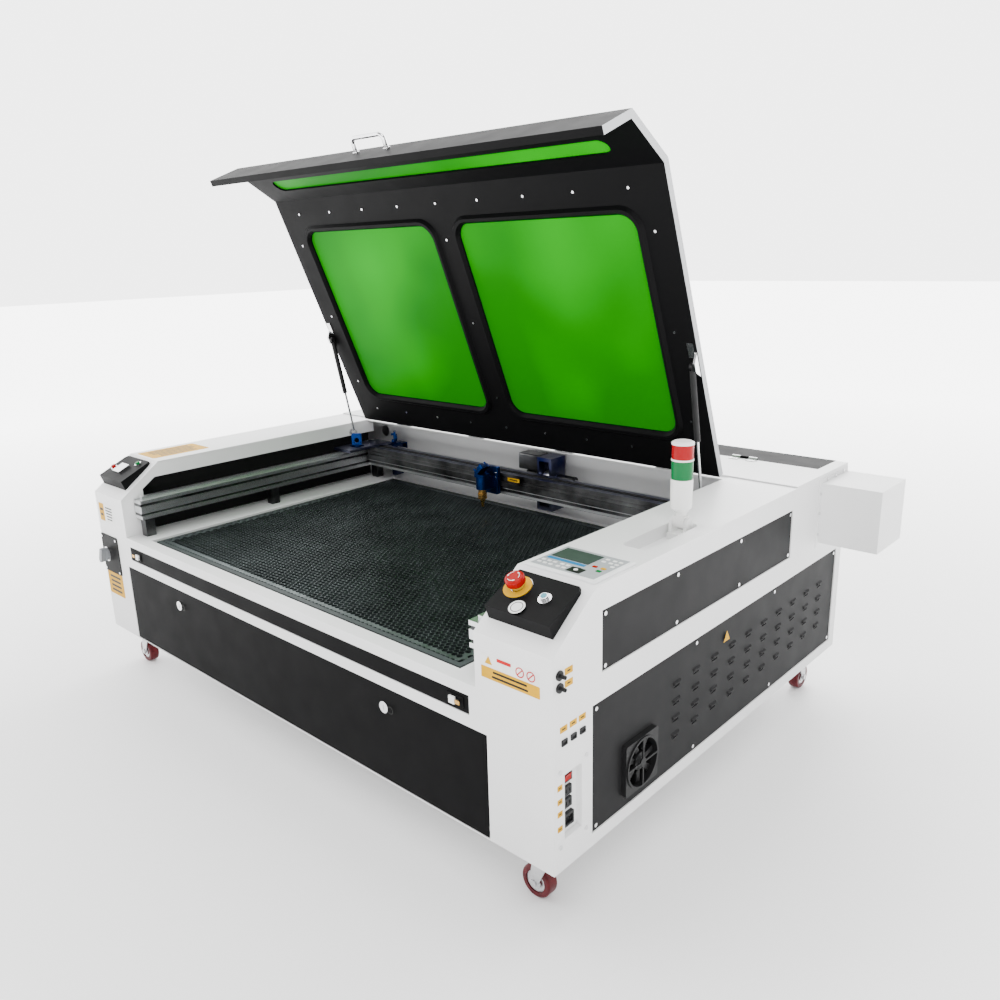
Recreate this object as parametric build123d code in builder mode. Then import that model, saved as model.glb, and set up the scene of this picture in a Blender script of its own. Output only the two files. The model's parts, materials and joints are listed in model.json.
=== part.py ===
"""Large-format CO2 laser engraver, as an assembly of separate pieces.

Millimetres. The origin lies on the floor under the middle of the cabinet.
+X is the machine's right as seen from the front, +Y points to the back, +Z up.
The lid is modelled standing open on its two gas struts.
"""
from build123d import *

import math
import os

os.makedirs("parts", exist_ok=True)

# ---------------------------------------------------------------- driving sizes
body_width = 1880.0
body_depth = 1330.0
floor_clearance = 143.0
base_height = 340.0
shoulder_height = 120.0
slope_run = 133.0
slope_rise = 99.0
left_tower_width = 185.0
right_tower_width = 196.0
rear_depth = 330.0
tower_length = body_depth - rear_depth
rear_step = 4.0
sheet = 3.0
seam = 0.5

lid_angle = 68.0
lid_thickness = 18.0
lid_sheet = 1.5
lid_side_gap = 4.0
hinge_setback = 15.0

bed_gap = 10.0
bed_margin_front = 37.0
bed_margin_side = 275.0
bed_back_offset = 10.0
honeycomb_thickness = 25.0
bed_drop = 3.0
bed_tube = 25.0

# ---------------------------------------------------------------- derived levels
half = body_width / 2
front = -body_depth / 2
back = body_depth / 2
base_z = floor_clearance
deck_z = base_z + base_height
shoulder_z = deck_z + shoulder_height
top_z = shoulder_z + slope_rise
rear_z = top_z + rear_step
slope_back = front + slope_run
seam_y = front + tower_length
left_in = -half + left_tower_width
right_in = half - right_tower_width
slope_angle = math.degrees(math.atan2(slope_rise, slope_run))
slope_drop = sheet / math.cos(math.radians(slope_angle))

saved = {}


# ---------------------------------------------------------------- small helpers
def slab(x0, x1, y0, y1, z0, z1):
    """A rectangular plate between two opposite corners."""
    with BuildPart() as piece:
        with Locations(((x0 + x1) / 2, (y0 + y1) / 2, (z0 + z1) / 2)):
            Box(abs(x1 - x0), abs(y1 - y0), abs(z1 - z0))
    return piece.part


def side_plate(outline, x0, x1):
    """A flat plate standing in the YZ plane, cut to an outline of (y, z) points."""
    low, high = min(x0, x1), max(x0, x1)
    with BuildPart() as piece:
        with BuildSketch(Plane.YZ.offset(low)):
            with BuildLine():
                Polyline(*outline, close=True)
            make_face()
        extrude(amount=high - low)
    return piece.part


def bar(radius, start, end):
    """A round bar from one point to another."""
    a, b = Vector(*start), Vector(*end)
    with BuildPart() as piece:
        with BuildSketch(Plane(origin=a, z_dir=(b - a).normalized())):
            Circle(radius)
        extrude(amount=(b - a).length)
    return piece.part


def ring(outer, inner, start, end):
    """A round tube from one point to another."""
    a, b = Vector(*start), Vector(*end)
    with BuildPart() as piece:
        with BuildSketch(Plane(origin=a, z_dir=(b - a).normalized())):
            Circle(outer)
            Circle(inner, mode=Mode.SUBTRACT)
        extrude(amount=(b - a).length)
    return piece.part


def save(label, *pieces):
    """Write one node: its separate solids, in one STEP file of that name."""
    solids = [solid for piece in pieces for solid in piece.solids()]
    node = solids[0] if len(solids) == 1 else Compound(children=solids)
    node.label = label
    export_step(node, f"parts/{label}.step")
    saved[label] = node
    return node


def slope_level(y):
    """Height of the towers' sloped front at a depth y."""
    return shoulder_z + slope_rise * (y - front) / slope_run


# ================================================================ base cabinet
door_half = half - 169.0
door_sill = 3.0
door_height = 240.0
rail_height = 28.0
flap_slot_height = 43.0
flap_left, flap_right = -half + 200.0, half - 216.0
panel_front = front + 121.0
panel_back_margin = 35.0
panel_low = 29.0
panel_high = 24.0
column_depth = 80.0
tray_y0, tray_y1 = front + 31.0, front + 88.0
tray_z0, tray_z1 = base_z + 66.0, base_z + 211.0
exhaust_x, exhaust_z, exhaust_radius = 300.0, base_z + 170.0, 75.0
exhaust_margin = 8.0
curb = 40.0

door_z0 = base_z + door_sill
door_z1 = door_z0 + door_height
flap_z0 = door_z1 + rail_height
flap_z1 = flap_z0 + flap_slot_height
bed_x = half - bed_margin_side
bed_y0 = front + bed_margin_front
bed_y1 = seam_y + bed_back_offset
panel_back = back - panel_back_margin
panel_z0 = base_z + panel_low
panel_z1 = deck_z - panel_high
pan_top = base_z + sheet
deck_low = deck_z - sheet
exhaust_half = exhaust_radius + exhaust_margin
lift_x = bed_x - 65.0
lift_y = (bed_y0 + 70.0, bed_y1 - 70.0)
screw_radius = 10.0
lift_nut_top = base_z + 107.0

door_pivot = (front + 5.0, door_z0 + 9.0)
door_pin = 3.0

base = [slab(-half, half, front, back, base_z, pan_top)]
wall_y0, wall_y1 = back - sheet, back
for x0, x1, z0, z1 in (
    (-half, exhaust_x - exhaust_half, pan_top, deck_low),
    (exhaust_x + exhaust_half, half, pan_top, deck_low),
    (exhaust_x - exhaust_half, exhaust_x + exhaust_half, pan_top, exhaust_z - exhaust_half),
    (exhaust_x - exhaust_half, exhaust_x + exhaust_half, exhaust_z + exhaust_half, deck_low),
):
    base.append(slab(x0, x1, wall_y0, wall_y1, z0, z1))
for side in (-1, 1):
    outer, inner = side * half, side * (half - sheet)
    base.append(slab(outer, inner, panel_front, panel_back, pan_top, panel_z0))
    base.append(slab(outer, inner, panel_front, panel_back, panel_z1, deck_low))
    base.append(slab(outer, inner, panel_back, wall_y0, pan_top, deck_low))
    base.append(slab(side * door_half, outer, front, front + sheet, pan_top, deck_low))
    column = side * (door_half - sheet)
    with BuildPart() as door_column:
        add(slab(column, side * door_half, front + sheet, front + column_depth, pan_top, deck_low))
        add(bar(door_pin + 0.05, (column, *door_pivot), (side * door_half, *door_pivot)), mode=Mode.SUBTRACT)
    base.append(door_column.part)
column_y0 = front + sheet
base.append(slab(-half, -half + sheet, column_y0, panel_front, pan_top, deck_low))
for y0, y1, z0, z1 in (
    (column_y0, panel_front, pan_top, tray_z0),
    (column_y0, panel_front, tray_z1, deck_low),
    (column_y0, tray_y0, tray_z0, tray_z1),
    (tray_y1, panel_front, tray_z0, tray_z1),
):
    base.append(slab(half - sheet, half, y0, y1, z0, z1))
base.append(slab(-door_half, door_half, front, front + sheet, door_z1, flap_z0))
base.append(slab(-door_half, door_half, front, front + sheet, flap_z1, deck_low))
base.append(slab(-door_half, flap_left, front, front + sheet, flap_z0, flap_z1))
base.append(slab(flap_right, door_half, front, front + sheet, flap_z0, flap_z1))
base.append(slab(-half, half, front, bed_y0, deck_low, deck_z))
base.append(slab(-half, -bed_x, bed_y0, bed_y1, deck_low, deck_z))
base.append(slab(bed_x, half, bed_y0, bed_y1, deck_low, deck_z))
base.append(slab(-half, half, bed_y1, back, deck_low, deck_z))
curb_z = deck_low - curb
for side in (-1, 1):
    base.append(slab(side * bed_x, side * (bed_x + sheet), bed_y0, bed_y1, curb_z, deck_low))
base.append(slab(-bed_x, bed_x, bed_y1, bed_y1 + sheet, curb_z, deck_low))
flap_pivot = (front + 5.0, flap_z0 + 9.0)
flap_pin = 2.0
for near, far in ((flap_left - 5, flap_left - 1), (flap_right + 1, flap_right + 5)):
    with BuildPart() as flap_lug:
        add(slab(near, far, front + sheet, front + 10, flap_z0 + 1, flap_z0 + 13))
        add(bar(flap_pin + 0.05, (near, *flap_pivot), (far, *flap_pivot)), mode=Mode.SUBTRACT)
    base.append(flap_lug.part)
for x in (-lift_x, lift_x):
    for y in lift_y:
        base.append(ring(screw_radius + 12, screw_radius + 0.3, (x, y, pan_top), (x, y, lift_nut_top)))
save("base_shell", *base)

# ---------------------------------------------------------------- louvred panels
panel_sheet = 2.0
panel_lap = 12.0
louvre_columns, louvre_rows = 10, 4
louvre_y0, louvre_y1 = front + 436.0, back - 135.0
louvre_z0, louvre_z1 = base_z + 111.0, deck_z - 102.0
louvre_length, louvre_height, louvre_stand = 30.0, 9.0, 4.0
fan_y, fan_z, fan_size = front + 286.0, base_z + 117.0, 120.0
fan_bore, fan_sleeve = 54.0, 57.5

louvres = [
    (louvre_y0 + (louvre_y1 - louvre_y0) * i / (louvre_columns - 1),
     louvre_z0 + (louvre_z1 - louvre_z0) * j / (louvre_rows - 1))
    for i in range(louvre_columns) for j in range(louvre_rows)
]


def louvred_panel(side):
    """Black side panel behind the base's opening, with pressed vent louvres."""
    face = side * (half - sheet)
    with BuildPart() as panel:
        with BuildSketch(Plane.YZ.offset(face)):
            with Locations(((panel_front + panel_back) / 2, (panel_z0 + panel_z1) / 2)):
                Rectangle(panel_back - panel_front + 2 * panel_lap,
                          panel_z1 - panel_z0 + 2 * panel_lap)
        extrude(amount=-side * panel_sheet)
        with BuildSketch(Plane.YZ.offset(face)):
            with Locations(*louvres):
                Rectangle(louvre_length, louvre_height)
        extrude(amount=side * louvre_stand, taper=38)
        with BuildSketch(Plane.YZ.offset(face)):
            with Locations(*[(y, z - louvre_height) for y, z in louvres]):
                SlotOverall(louvre_length * 0.8, louvre_height * 0.4)
        extrude(amount=-side * panel_sheet, mode=Mode.SUBTRACT)
        if side > 0:
            with BuildSketch(Plane.YZ.offset(face)):
                with Locations((fan_y, fan_z)):
                    Circle(fan_sleeve + 0.5)
            extrude(amount=-side * panel_sheet, mode=Mode.SUBTRACT)
    return panel.part


save("louvred_panels", louvred_panel(-1), louvred_panel(1))

# ================================================================ towers
tower_panel_y0, tower_panel_y1 = front + 151.0, seam_y - 19.0
tower_panel_z0, tower_panel_z1 = deck_z + 36.0, top_z - 54.0
post_back = front + 72.0
band_low = 47.0
chamfer_low = shoulder_z + 22.0
chamfer_back = front + 115.0
liner_recess = 35.0
recess_x, recess_half_width = half - 72.0, 32.0
recess_y0, recess_y1 = front + 357.0, front + 579.0
recess_depth = 30.0
fitting_y, fitting_z, fitting_radius = front + 19.0, (deck_z + 57.0, deck_z + 82.0), 8.0
barb_radius, barb_length = 4.0, 12.0

inner_top = top_z - sheet
slope_in = front + sheet


def tower_skin(side, inside, top_plates):
    """The folded sheet-metal plates of one tower; inside is its inner wall's x."""
    outer = side * half
    skin = outer - side * sheet
    plates = [
        slab(outer, inside, front, front + sheet, deck_z, shoulder_z - slope_drop),
        side_plate([(front, shoulder_z), (slope_back, top_z), (slope_back, top_z - slope_drop),
                    (front, shoulder_z - slope_drop)], outer, inside),
    ]
    plates += top_plates
    corner = [(slope_in, deck_z), (tower_panel_y0, deck_z), (tower_panel_y0, inner_top),
              (slope_back, inner_top - slope_drop + sheet),
              (slope_in, slope_level(slope_in) - slope_drop)]
    with BuildPart() as cheek:
        with BuildSketch(Plane.YZ.offset(min(outer, skin))):
            with BuildLine():
                Polyline(*corner, close=True)
            make_face()
            if side > 0:
                with Locations(*[(fitting_y, z) for z in fitting_z]):
                    Circle(fitting_radius, mode=Mode.SUBTRACT)
        extrude(amount=sheet)
    plates.append(cheek.part)
    plates.append(slab(outer, skin, tower_panel_y0, tower_panel_y1, tower_panel_z1, inner_top))
    plates.append(slab(outer, skin, tower_panel_y0, tower_panel_y1, deck_z, tower_panel_z0))
    plates.append(slab(outer, skin, tower_panel_y1, seam_y, deck_z, inner_top))
    wall = inside + side * sheet
    plates.append(side_plate([(slope_in, deck_z), (post_back, deck_z),
                              (post_back, slope_level(post_back) - slope_drop),
                              (slope_in, slope_level(slope_in) - slope_drop)], inside, wall))
    plates.append(side_plate([(post_back, chamfer_low), (chamfer_back, top_z - band_low),
                              (chamfer_back, slope_level(chamfer_back) - slope_drop),
                              (post_back, slope_level(post_back) - slope_drop)], inside, wall))
    plates.append(side_plate([(chamfer_back, top_z - band_low), (seam_y, top_z - band_low),
                              (seam_y, inner_top), (slope_back, inner_top - slope_drop + sheet),
                              (chamfer_back, slope_level(chamfer_back) - slope_drop)], inside, wall))
    return plates


left_top = [slab(-half, left_in, slope_back, seam_y, inner_top, top_z)]
save("left_tower", *tower_skin(-1, left_in, left_top))

recess_x0, recess_x1 = recess_x - recess_half_width, recess_x + recess_half_width
recess_floor = top_z - recess_depth
right_top = [
    slab(right_in, recess_x0, slope_back, seam_y, inner_top, top_z),
    slab(recess_x1, half, slope_back, seam_y, inner_top, top_z),
    slab(recess_x0, recess_x1, slope_back, recess_y0, inner_top, top_z),
    slab(recess_x0, recess_x1, recess_y1, seam_y, inner_top, top_z),
    slab(recess_x0 - 2, recess_x1 + 2, recess_y0 - 2, recess_y1 + 2, recess_floor - 2, recess_floor),
    slab(recess_x0 - 2, recess_x0, recess_y0 - 2, recess_y1 + 2, recess_floor, inner_top),
    slab(recess_x1, recess_x1 + 2, recess_y0 - 2, recess_y1 + 2, recess_floor, inner_top),
    slab(recess_x0, recess_x1, recess_y0 - 2, recess_y0, recess_floor, inner_top),
    slab(recess_x0, recess_x1, recess_y1, recess_y1 + 2, recess_floor, inner_top),
]
for corner_y, turn_y in ((recess_y0, 1), (recess_y1, -1)):
    for corner_x, turn_x in ((recess_x0, 1), (recess_x1, -1)):
        with BuildPart() as fillet_piece:
            with BuildSketch(Plane.XY.offset(recess_floor)):
                with BuildLine():
                    Polyline((corner_x, corner_y + turn_y * 20), (corner_x, corner_y),
                             (corner_x + turn_x * 20, corner_y))
                    ThreePointArc((corner_x + turn_x * 20, corner_y),
                                  (corner_x + turn_x * 5.86, corner_y + turn_y * 5.86),
                                  (corner_x, corner_y + turn_y * 20))
                make_face()
            extrude(amount=recess_depth)
        right_top.append(fillet_piece.part)
save("right_tower", *tower_skin(1, right_in, right_top))

tower_panels = []
for side, inside in ((-1, left_in), (1, right_in)):
    face = side * (half - sheet)
    tower_panels.append(slab(face, face - side * panel_sheet, tower_panel_y0 - panel_lap,
                             tower_panel_y1 + panel_lap, tower_panel_z0 - panel_lap,
                             tower_panel_z1 + panel_lap))
    liner = inside + side * liner_recess
    tower_panels.append(side_plate([(slope_in, deck_z), (seam_y, deck_z), (seam_y, inner_top),
                                    (slope_back, inner_top - slope_drop + sheet),
                                    (slope_in, slope_level(slope_in) - slope_drop)],
                                   liner, liner + side * panel_sheet))
save("tower_panels", *tower_panels)

# ================================================================ rear housing
cover_y0 = back - 125.0
cover_side = 35.0
tube_wall_y = seam_y + 97.0
flange_y0 = seam_y - 23.0
flange_z = top_z - 2.0
tube_y, tube_z, tube_radius = back - 105.0, deck_z + 117.0, 40.0
tube_left, tube_right = -half + 160.0, half + 110.0
port_y0, port_y1, port_z0, port_z1 = back - 165.0, back - 13.0, deck_z + 43.0, top_z - 31.0
beam_hole_x, beam_hole_z, beam_hole_radius = -half + 140.0, deck_z + 151.0, 22.0
saddle_xs = (-560.0, 0.0, 560.0)

rear_in = rear_z - sheet
with BuildPart() as tube_wall:
    with BuildSketch(Plane.XZ.offset(-tube_wall_y)):
        with Locations((0, (deck_z + rear_in) / 2)):
            Rectangle(2 * (half - sheet), rear_in - deck_z)
        with Locations((beam_hole_x, beam_hole_z)):
            Circle(beam_hole_radius, mode=Mode.SUBTRACT)
    extrude(amount=-sheet)
housing = [
    tube_wall.part,
    slab(-half, half, seam_y, cover_y0, rear_in, rear_z),
    slab(left_in, right_in, flange_y0, seam_y, flange_z - sheet, flange_z),
    slab(left_in, right_in, seam_y, seam_y + sheet, flange_z - sheet, rear_in),
    slab(-half, half, back - sheet, back, deck_z, rear_in),
    slab(-half, -half + sheet, seam_y, back - sheet, deck_z, rear_in),
    slab(half - sheet, half, seam_y, port_y0, deck_z, rear_in),
    slab(half - sheet, half, port_y1, back - sheet, deck_z, rear_in),
    slab(half - sheet, half, port_y0, port_y1, deck_z, port_z0),
    slab(half - sheet, half, port_y0, port_y1, port_z1, rear_in),
]
for side in (-1, 1):
    housing.append(slab(side * half, side * (half - cover_side), cover_y0, back, rear_in, rear_z))
for x in saddle_xs:
    with BuildPart() as saddle:
        with Locations((x, tube_y, (deck_z + tube_z) / 2)):
            Box(24, 110, tube_z - deck_z)
        with BuildSketch(Plane.YZ.offset(x - 12)):
            with Locations((tube_y, tube_z)):
                Circle(tube_radius + 0.3)
        extrude(amount=24, mode=Mode.SUBTRACT)
    housing.append(saddle.part)
save("rear_housing", *housing)

tube_parts = [ring(tube_radius, tube_radius - 3, (tube_left + 20, tube_y, tube_z),
                   (tube_right - 20, tube_y, tube_z))]
tube_parts.append(bar(tube_radius, (tube_left, tube_y, tube_z), (tube_left + 20, tube_y, tube_z)))
tube_parts.append(bar(tube_radius, (tube_right - 20, tube_y, tube_z), (tube_right, tube_y, tube_z)))
tube_parts.append(bar(9, (tube_left + 20, tube_y, tube_z), (tube_right - 20, tube_y, tube_z)))
save("laser_tube", *tube_parts)

box_y0, box_y1, box_z0, box_z1 = back - 177.0, back - 3.0, deck_z + 31.0, top_z - 19.0
box_length = 160.0
box_x1 = half + box_length
box_wall = 2.0
end_box = [
    slab(half, box_x1, box_y0, box_y1, box_z1 - box_wall, box_z1),
    slab(half, box_x1, box_y0, box_y1, box_z0, box_z0 + box_wall),
    slab(half, box_x1, box_y0, box_y0 + box_wall, box_z0 + box_wall, box_z1 - box_wall),
    slab(half, box_x1, box_y1 - box_wall, box_y1, box_z0 + box_wall, box_z1 - box_wall),
    slab(box_x1 - box_wall, box_x1, box_y0 + box_wall, box_y1 - box_wall,
         box_z0 + box_wall, box_z1 - box_wall),
    slab(half, half + box_wall, box_y0 - 16, box_y0, box_z0 - 12, box_z1 + 12),
    slab(half, half + box_wall, box_y0, box_y1, box_z1, box_z1 + 12),
    slab(half, half + box_wall, box_y0, box_y1, box_z0 - 12, box_z0),
]
save("tube_end_box", *end_box)

# ---------------------------------------------------------------- exhaust spigot
with BuildPart() as exhaust:
    with BuildSketch(Plane.XZ.offset(-back)):
        with Locations((exhaust_x, exhaust_z)):
            Rectangle(2 * exhaust_half + 24, 2 * exhaust_half + 24)
            Circle(exhaust_radius - 2, mode=Mode.SUBTRACT)
    extrude(amount=-2)
    with BuildSketch(Plane.XZ.offset(-back - 2)):
        with Locations((exhaust_x, exhaust_z)):
            Circle(exhaust_radius)
            Circle(exhaust_radius - 2, mode=Mode.SUBTRACT)
    extrude(amount=-60)
save("exhaust_spigot", exhaust.part)

# ---------------------------------------------------------------- electronics
supply_x, controller_x = -half + 100.0, half - 110.0
with BuildPart() as supply:
    with Locations((supply_x, -50, pan_top + 90)):
        Box(130, 400, 180)
    with BuildSketch(Plane.XY.offset(pan_top + 180)):
        with Locations((supply_x, -50)):
            with GridLocations(0, 24, 1, 12):
                SlotOverall(90, 6)
    extrude(amount=-4, mode=Mode.SUBTRACT)
    with Locations((supply_x, -50, pan_top + 88)):
        Box(126, 396, 176, mode=Mode.SUBTRACT)
with BuildPart() as controller:
    with Locations((controller_x, -100, pan_top + 65)):
        Box(100, 300, 130)
    with Locations((controller_x, -100, pan_top + 63)):
        Box(96, 296, 126, mode=Mode.SUBTRACT)
terminal = slab(controller_x - 30, controller_x + 30, 60, 220, pan_top, pan_top + 50)
save("power_supply", supply.part, controller.part, terminal)

# ---------------------------------------------------------------- cooling fan
fan_x = half - sheet
fan_proud, fan_inside = 12.0, 15.0
fan_back = fan_x - fan_inside
fan_place = (fan_y, fan_z)
with BuildPart() as fan_frame:
    with Locations((fan_x + fan_proud / 2, *fan_place), (fan_x - panel_sheet - 6.5, *fan_place)):
        Box(fan_proud, fan_size, fan_size)
    fillet(fan_frame.edges().filter_by(Axis.X), 6)
    add(bar(fan_sleeve, (fan_back, *fan_place), (fan_x + fan_proud, *fan_place)))
    add(bar(fan_bore, (fan_back, *fan_place), (fan_x + fan_proud, *fan_place)), mode=Mode.SUBTRACT)
    with BuildSketch(Plane.YZ.offset(fan_back)):
        with Locations(fan_place):
            Circle(19)
            with PolarLocations(0, 4):
                with Locations((37, 0)):
                    Rectangle(40, 6)
    extrude(amount=4)
    add(bar(3, (fan_back, *fan_place), (fan_x + 5, *fan_place)))
    with BuildSketch(Plane.YZ.offset(fan_x + fan_proud)):
        with Locations(fan_place):
            for radius in (18, 26, 34, 42, 50, 58):
                Circle(radius)
                Circle(radius - 4.5, mode=Mode.SUBTRACT)
            Circle(10)
            with PolarLocations(0, 4):
                with Locations((32, 0)):
                    Rectangle(48, 4)
    extrude(amount=3)
save("fan_housing", fan_frame.part)

with BuildPart() as rotor:
    with BuildSketch(Plane.YZ.offset(fan_x - 10)):
        with Locations(fan_place):
            Circle(20)
            Circle(3.05, mode=Mode.SUBTRACT)
    extrude(amount=17)
    with BuildSketch(Plane.YZ.offset(fan_x - 8)):
        with Locations(fan_place):
            with PolarLocations(0, 7):
                with Locations((35, 0)):
                    Rectangle(32, 3)
                with Locations(Location((37, 5, 0), (0, 0, 14))):
                    Rectangle(27, 12)
    extrude(amount=12)
save("fan_rotor", rotor.part)

# ---------------------------------------------------------------- socket tray and fittings
tray_depth = 14.0
tray_wall = 1.5
tray_back = half - tray_depth + tray_wall
ty0, ty1, tz0, tz1 = tray_y0 + seam, tray_y1 - seam, tray_z0 + seam, tray_z1 - seam
save("socket_tray",
     slab(half - tray_depth, tray_back, ty0, ty1, tz0, tz1),
     slab(tray_back, half, ty0, ty0 + tray_wall, tz0, tz1),
     slab(tray_back, half, ty1 - tray_wall, ty1, tz0, tz1),
     slab(tray_back, half, ty0 + tray_wall, ty1 - tray_wall, tz0, tz0 + tray_wall),
     slab(tray_back, half, ty0 + tray_wall, ty1 - tray_wall, tz1 - tray_wall, tz1))

tray_y = (tray_y0 + tray_y1) / 2 - 8
rocker_z, socket_zs, inlet_z = base_z + 194.0, (base_z + 163.0, base_z + 136.0), base_z + 100.0
fittings = []
for z in socket_zs:
    with BuildPart() as socket:
        with Locations((tray_back + 3, tray_y, z)):
            Box(6, 24, 20)
        with Locations((tray_back + 5, tray_y - 5, z), (tray_back + 5, tray_y + 5, z)):
            Box(4, 3, 8, mode=Mode.SUBTRACT)
    fittings.append(socket.part)
with BuildPart() as inlet:
    with Locations((tray_back + 4, tray_y, inlet_z)):
        Box(8, 32, 28)
        with Locations((2, 0, 0)):
            Box(8, 24, 17, mode=Mode.SUBTRACT)
    with Locations(*[(tray_back + 3, tray_y + dy, inlet_z + dz) for dy, dz in ((-7, -2), (0, 3), (7, -2))]):
        Box(6, 2, 4)
fittings.append(inlet.part)
rocker_pivot = (tray_back + 3, rocker_z)
rocker_pin = 1.5
with BuildPart() as rocker_frame:
    with Locations((tray_back + 3, tray_y, rocker_z)):
        Box(6, 26, 22)
        with Locations((1, 0, 0)):
            Box(8, 20, 16, mode=Mode.SUBTRACT)
    add(bar(rocker_pin + 0.05, (rocker_pivot[0], tray_y - 12, rocker_z),
            (rocker_pivot[0], tray_y + 12, rocker_z)), mode=Mode.SUBTRACT)
fittings.append(rocker_frame.part)
port_ys, port_z = (front + 32.0, front + 60.0, front + 88.0), deck_z - 60.0
for y in port_ys:
    with BuildPart() as port:
        with Locations((half + 1.5, y, port_z)):
            Box(3, 16, 12)
            with Locations((1, 0, 0)):
                Box(3, 12, 6, mode=Mode.SUBTRACT)
    fittings.append(port.part)
for z in fitting_z:
    with BuildPart() as barb:
        add(bar(fitting_radius - 0.3, (half - 12, fitting_y, z), (half, fitting_y, z)))
        add(bar(fitting_radius + 2, (half, fitting_y, z), (half + 3, fitting_y, z)))
        add(bar(barb_radius, (half + 3, fitting_y, z), (half + 3 + barb_length, fitting_y, z)))
        add(bar(2.2, (half - 13, fitting_y, z), (half + 4 + barb_length, fitting_y, z)), mode=Mode.SUBTRACT)
    fittings.append(barb.part)
save("wall_fittings", *fittings)

with BuildPart() as rocker:
    with BuildSketch(Plane.XZ.offset(-(tray_y + 9.5))):
        with BuildLine():
            Polyline((tray_back + 2.5, rocker_z - 3.5), (tray_back + 6.5, rocker_z - 7.4),
                     (tray_back + 6.0, rocker_z), (tray_back + 9.5, rocker_z + 7.4),
                     (tray_back + 2.5, rocker_z + 3.5), close=True)
        make_face()
    extrude(amount=19)
    add(bar(rocker_pin, (rocker_pivot[0], tray_y - 11.8, rocker_z), (rocker_pivot[0], tray_y + 11.8, rocker_z)))
save("rocker_switch", rocker.part)

# ---------------------------------------------------------------- controller keypad
keypad_x0, keypad_x1 = half - 183.0, half - 8.0
keypad_y0, keypad_y1 = front + 136.0, front + 278.0
keypad_rise = 6.0
with BuildPart() as keypad:
    with Locations(((keypad_x0 + keypad_x1) / 2, (keypad_y0 + keypad_y1) / 2, top_z + keypad_rise / 2)):
        Box(keypad_x1 - keypad_x0, keypad_y1 - keypad_y0, keypad_rise)
    fillet(keypad.edges().filter_by(Axis.Z), 6)
    chamfer(keypad.faces().sort_by(Axis.Z)[-1].edges(), 2.5)
    with Locations(((keypad_x0 + keypad_x1) / 2, (keypad_y0 + keypad_y1) / 2, top_z + keypad_rise)):
        Box(keypad_x1 - keypad_x0 - 18, keypad_y1 - keypad_y0 - 18, 3, mode=Mode.SUBTRACT)
save("keypad", keypad.part)

# ================================================================ switch boxes on the slopes
wedge_front, wedge_back = 14.0, 129.0
wedge_low, wedge_high = 8.0, 30.0
wedge_bevel = 9.0
slope_length = math.hypot(slope_run, slope_rise)


def wedge_box(x0, x1):
    """Wedge-shaped switch box, thicker towards the front, with bevelled cheeks."""
    a = math.radians(slope_angle)
    profile = Plane(origin=(x0, slope_back, top_z), x_dir=(0, -math.cos(a), -math.sin(a)),
                    z_dir=(1, 0, 0))
    rise = profile.to_local_coords(Vector(x0, slope_back - math.sin(a), top_z + math.cos(a))).Y
    with BuildPart() as box:
        with BuildSketch(profile):
            with BuildLine():
                Polyline((wedge_front, 0), (wedge_back, 0),
                         (wedge_back - wedge_bevel, rise * wedge_high),
                         (wedge_front, rise * wedge_low), close=True)
            make_face()
        extrude(amount=x1 - x0)
        top = box.faces().sort_by(Axis.Z)[-1]
        chamfer(top.edges().filter_by(lambda e: abs(e.tangent_at(0.5).X) < 0.1), 6, 10)
    return box.part


left_box_x0, left_box_x1 = -half + 10.0, -half + 160.0
right_box_x0, right_box_x1 = half - 182.0, half - 22.0
isolator_x0, isolator_x1 = -half + 2.0, -half + 114.0
isolator_z0, isolator_z1 = deck_z - 143.0, deck_z - 17.0
isolator_thick = 2.5
with BuildPart() as isolator_plate:
    with Locations(((isolator_x0 + isolator_x1) / 2, front - isolator_thick / 2,
                    (isolator_z0 + isolator_z1) / 2)):
        Box(isolator_x1 - isolator_x0, isolator_thick, isolator_z1 - isolator_z0)
    fillet(isolator_plate.edges().filter_by(Axis.Y), 5)
save("switch_boxes", wedge_box(left_box_x0, left_box_x1), wedge_box(right_box_x0, right_box_x1),
     isolator_plate.part)

wedge_tilt = math.degrees(math.atan2(wedge_high - wedge_low, wedge_back - wedge_bevel - wedge_front))


def box_top(x, along):
    """Plane on a switch box's top face, at x and a distance down the slope."""
    a = math.radians(slope_angle)
    rise = wedge_low + (along - wedge_front) * math.tan(math.radians(wedge_tilt))
    y = slope_back - along * math.cos(a) - rise * math.sin(a)
    z = top_z - along * math.sin(a) + rise * math.cos(a)
    b = math.radians(slope_angle - wedge_tilt)
    return Plane(origin=(x, y, z), x_dir=(1, 0, 0), z_dir=(0, -math.sin(b), math.cos(b)))


def disc(plane, radius, low, high, bore=0.0):
    """A round disc or collar standing on a plane."""
    with BuildPart() as piece:
        with BuildSketch(plane.offset(low)):
            Circle(radius)
            if bore:
                Circle(bore, mode=Mode.SUBTRACT)
        extrude(amount=high - low)
    return piece.part


estop_place = box_top(right_box_x0 + 37, 58)
start_place = box_top(right_box_x0 + 110, 66)
red_place = box_top(left_box_x0 + 25, 76)
green_place = box_top(left_box_x0 + 114, 36)
meter_place = box_top(left_box_x0 + 68, 72)
bezels = [
    disc(estop_place, 30, 0, 2, 11.4),
    disc(estop_place, 14, 2, 10, 11.4),
    disc(start_place, 14, 0, 4, 9.4),
    disc(red_place, 11, 0, 3, 7.4),
    disc(green_place, 11, 0, 3, 7.4),
]
with BuildPart() as meter:
    with BuildSketch(meter_place):
        Rectangle(46, 42)
    extrude(amount=7)
    chamfer(meter.faces().sort_by(Axis.Z)[-1].edges(), 2)
bezels.append(meter.part)
isolator_place = Plane(origin=(isolator_x0 + 35, front - isolator_thick, isolator_z0 + 61),
                       x_dir=(1, 0, 0), z_dir=(0, -1, 0))
bezels.append(disc(isolator_place, 24, 0, 4, 7.4))
save("switch_bezels", *bezels)

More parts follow.
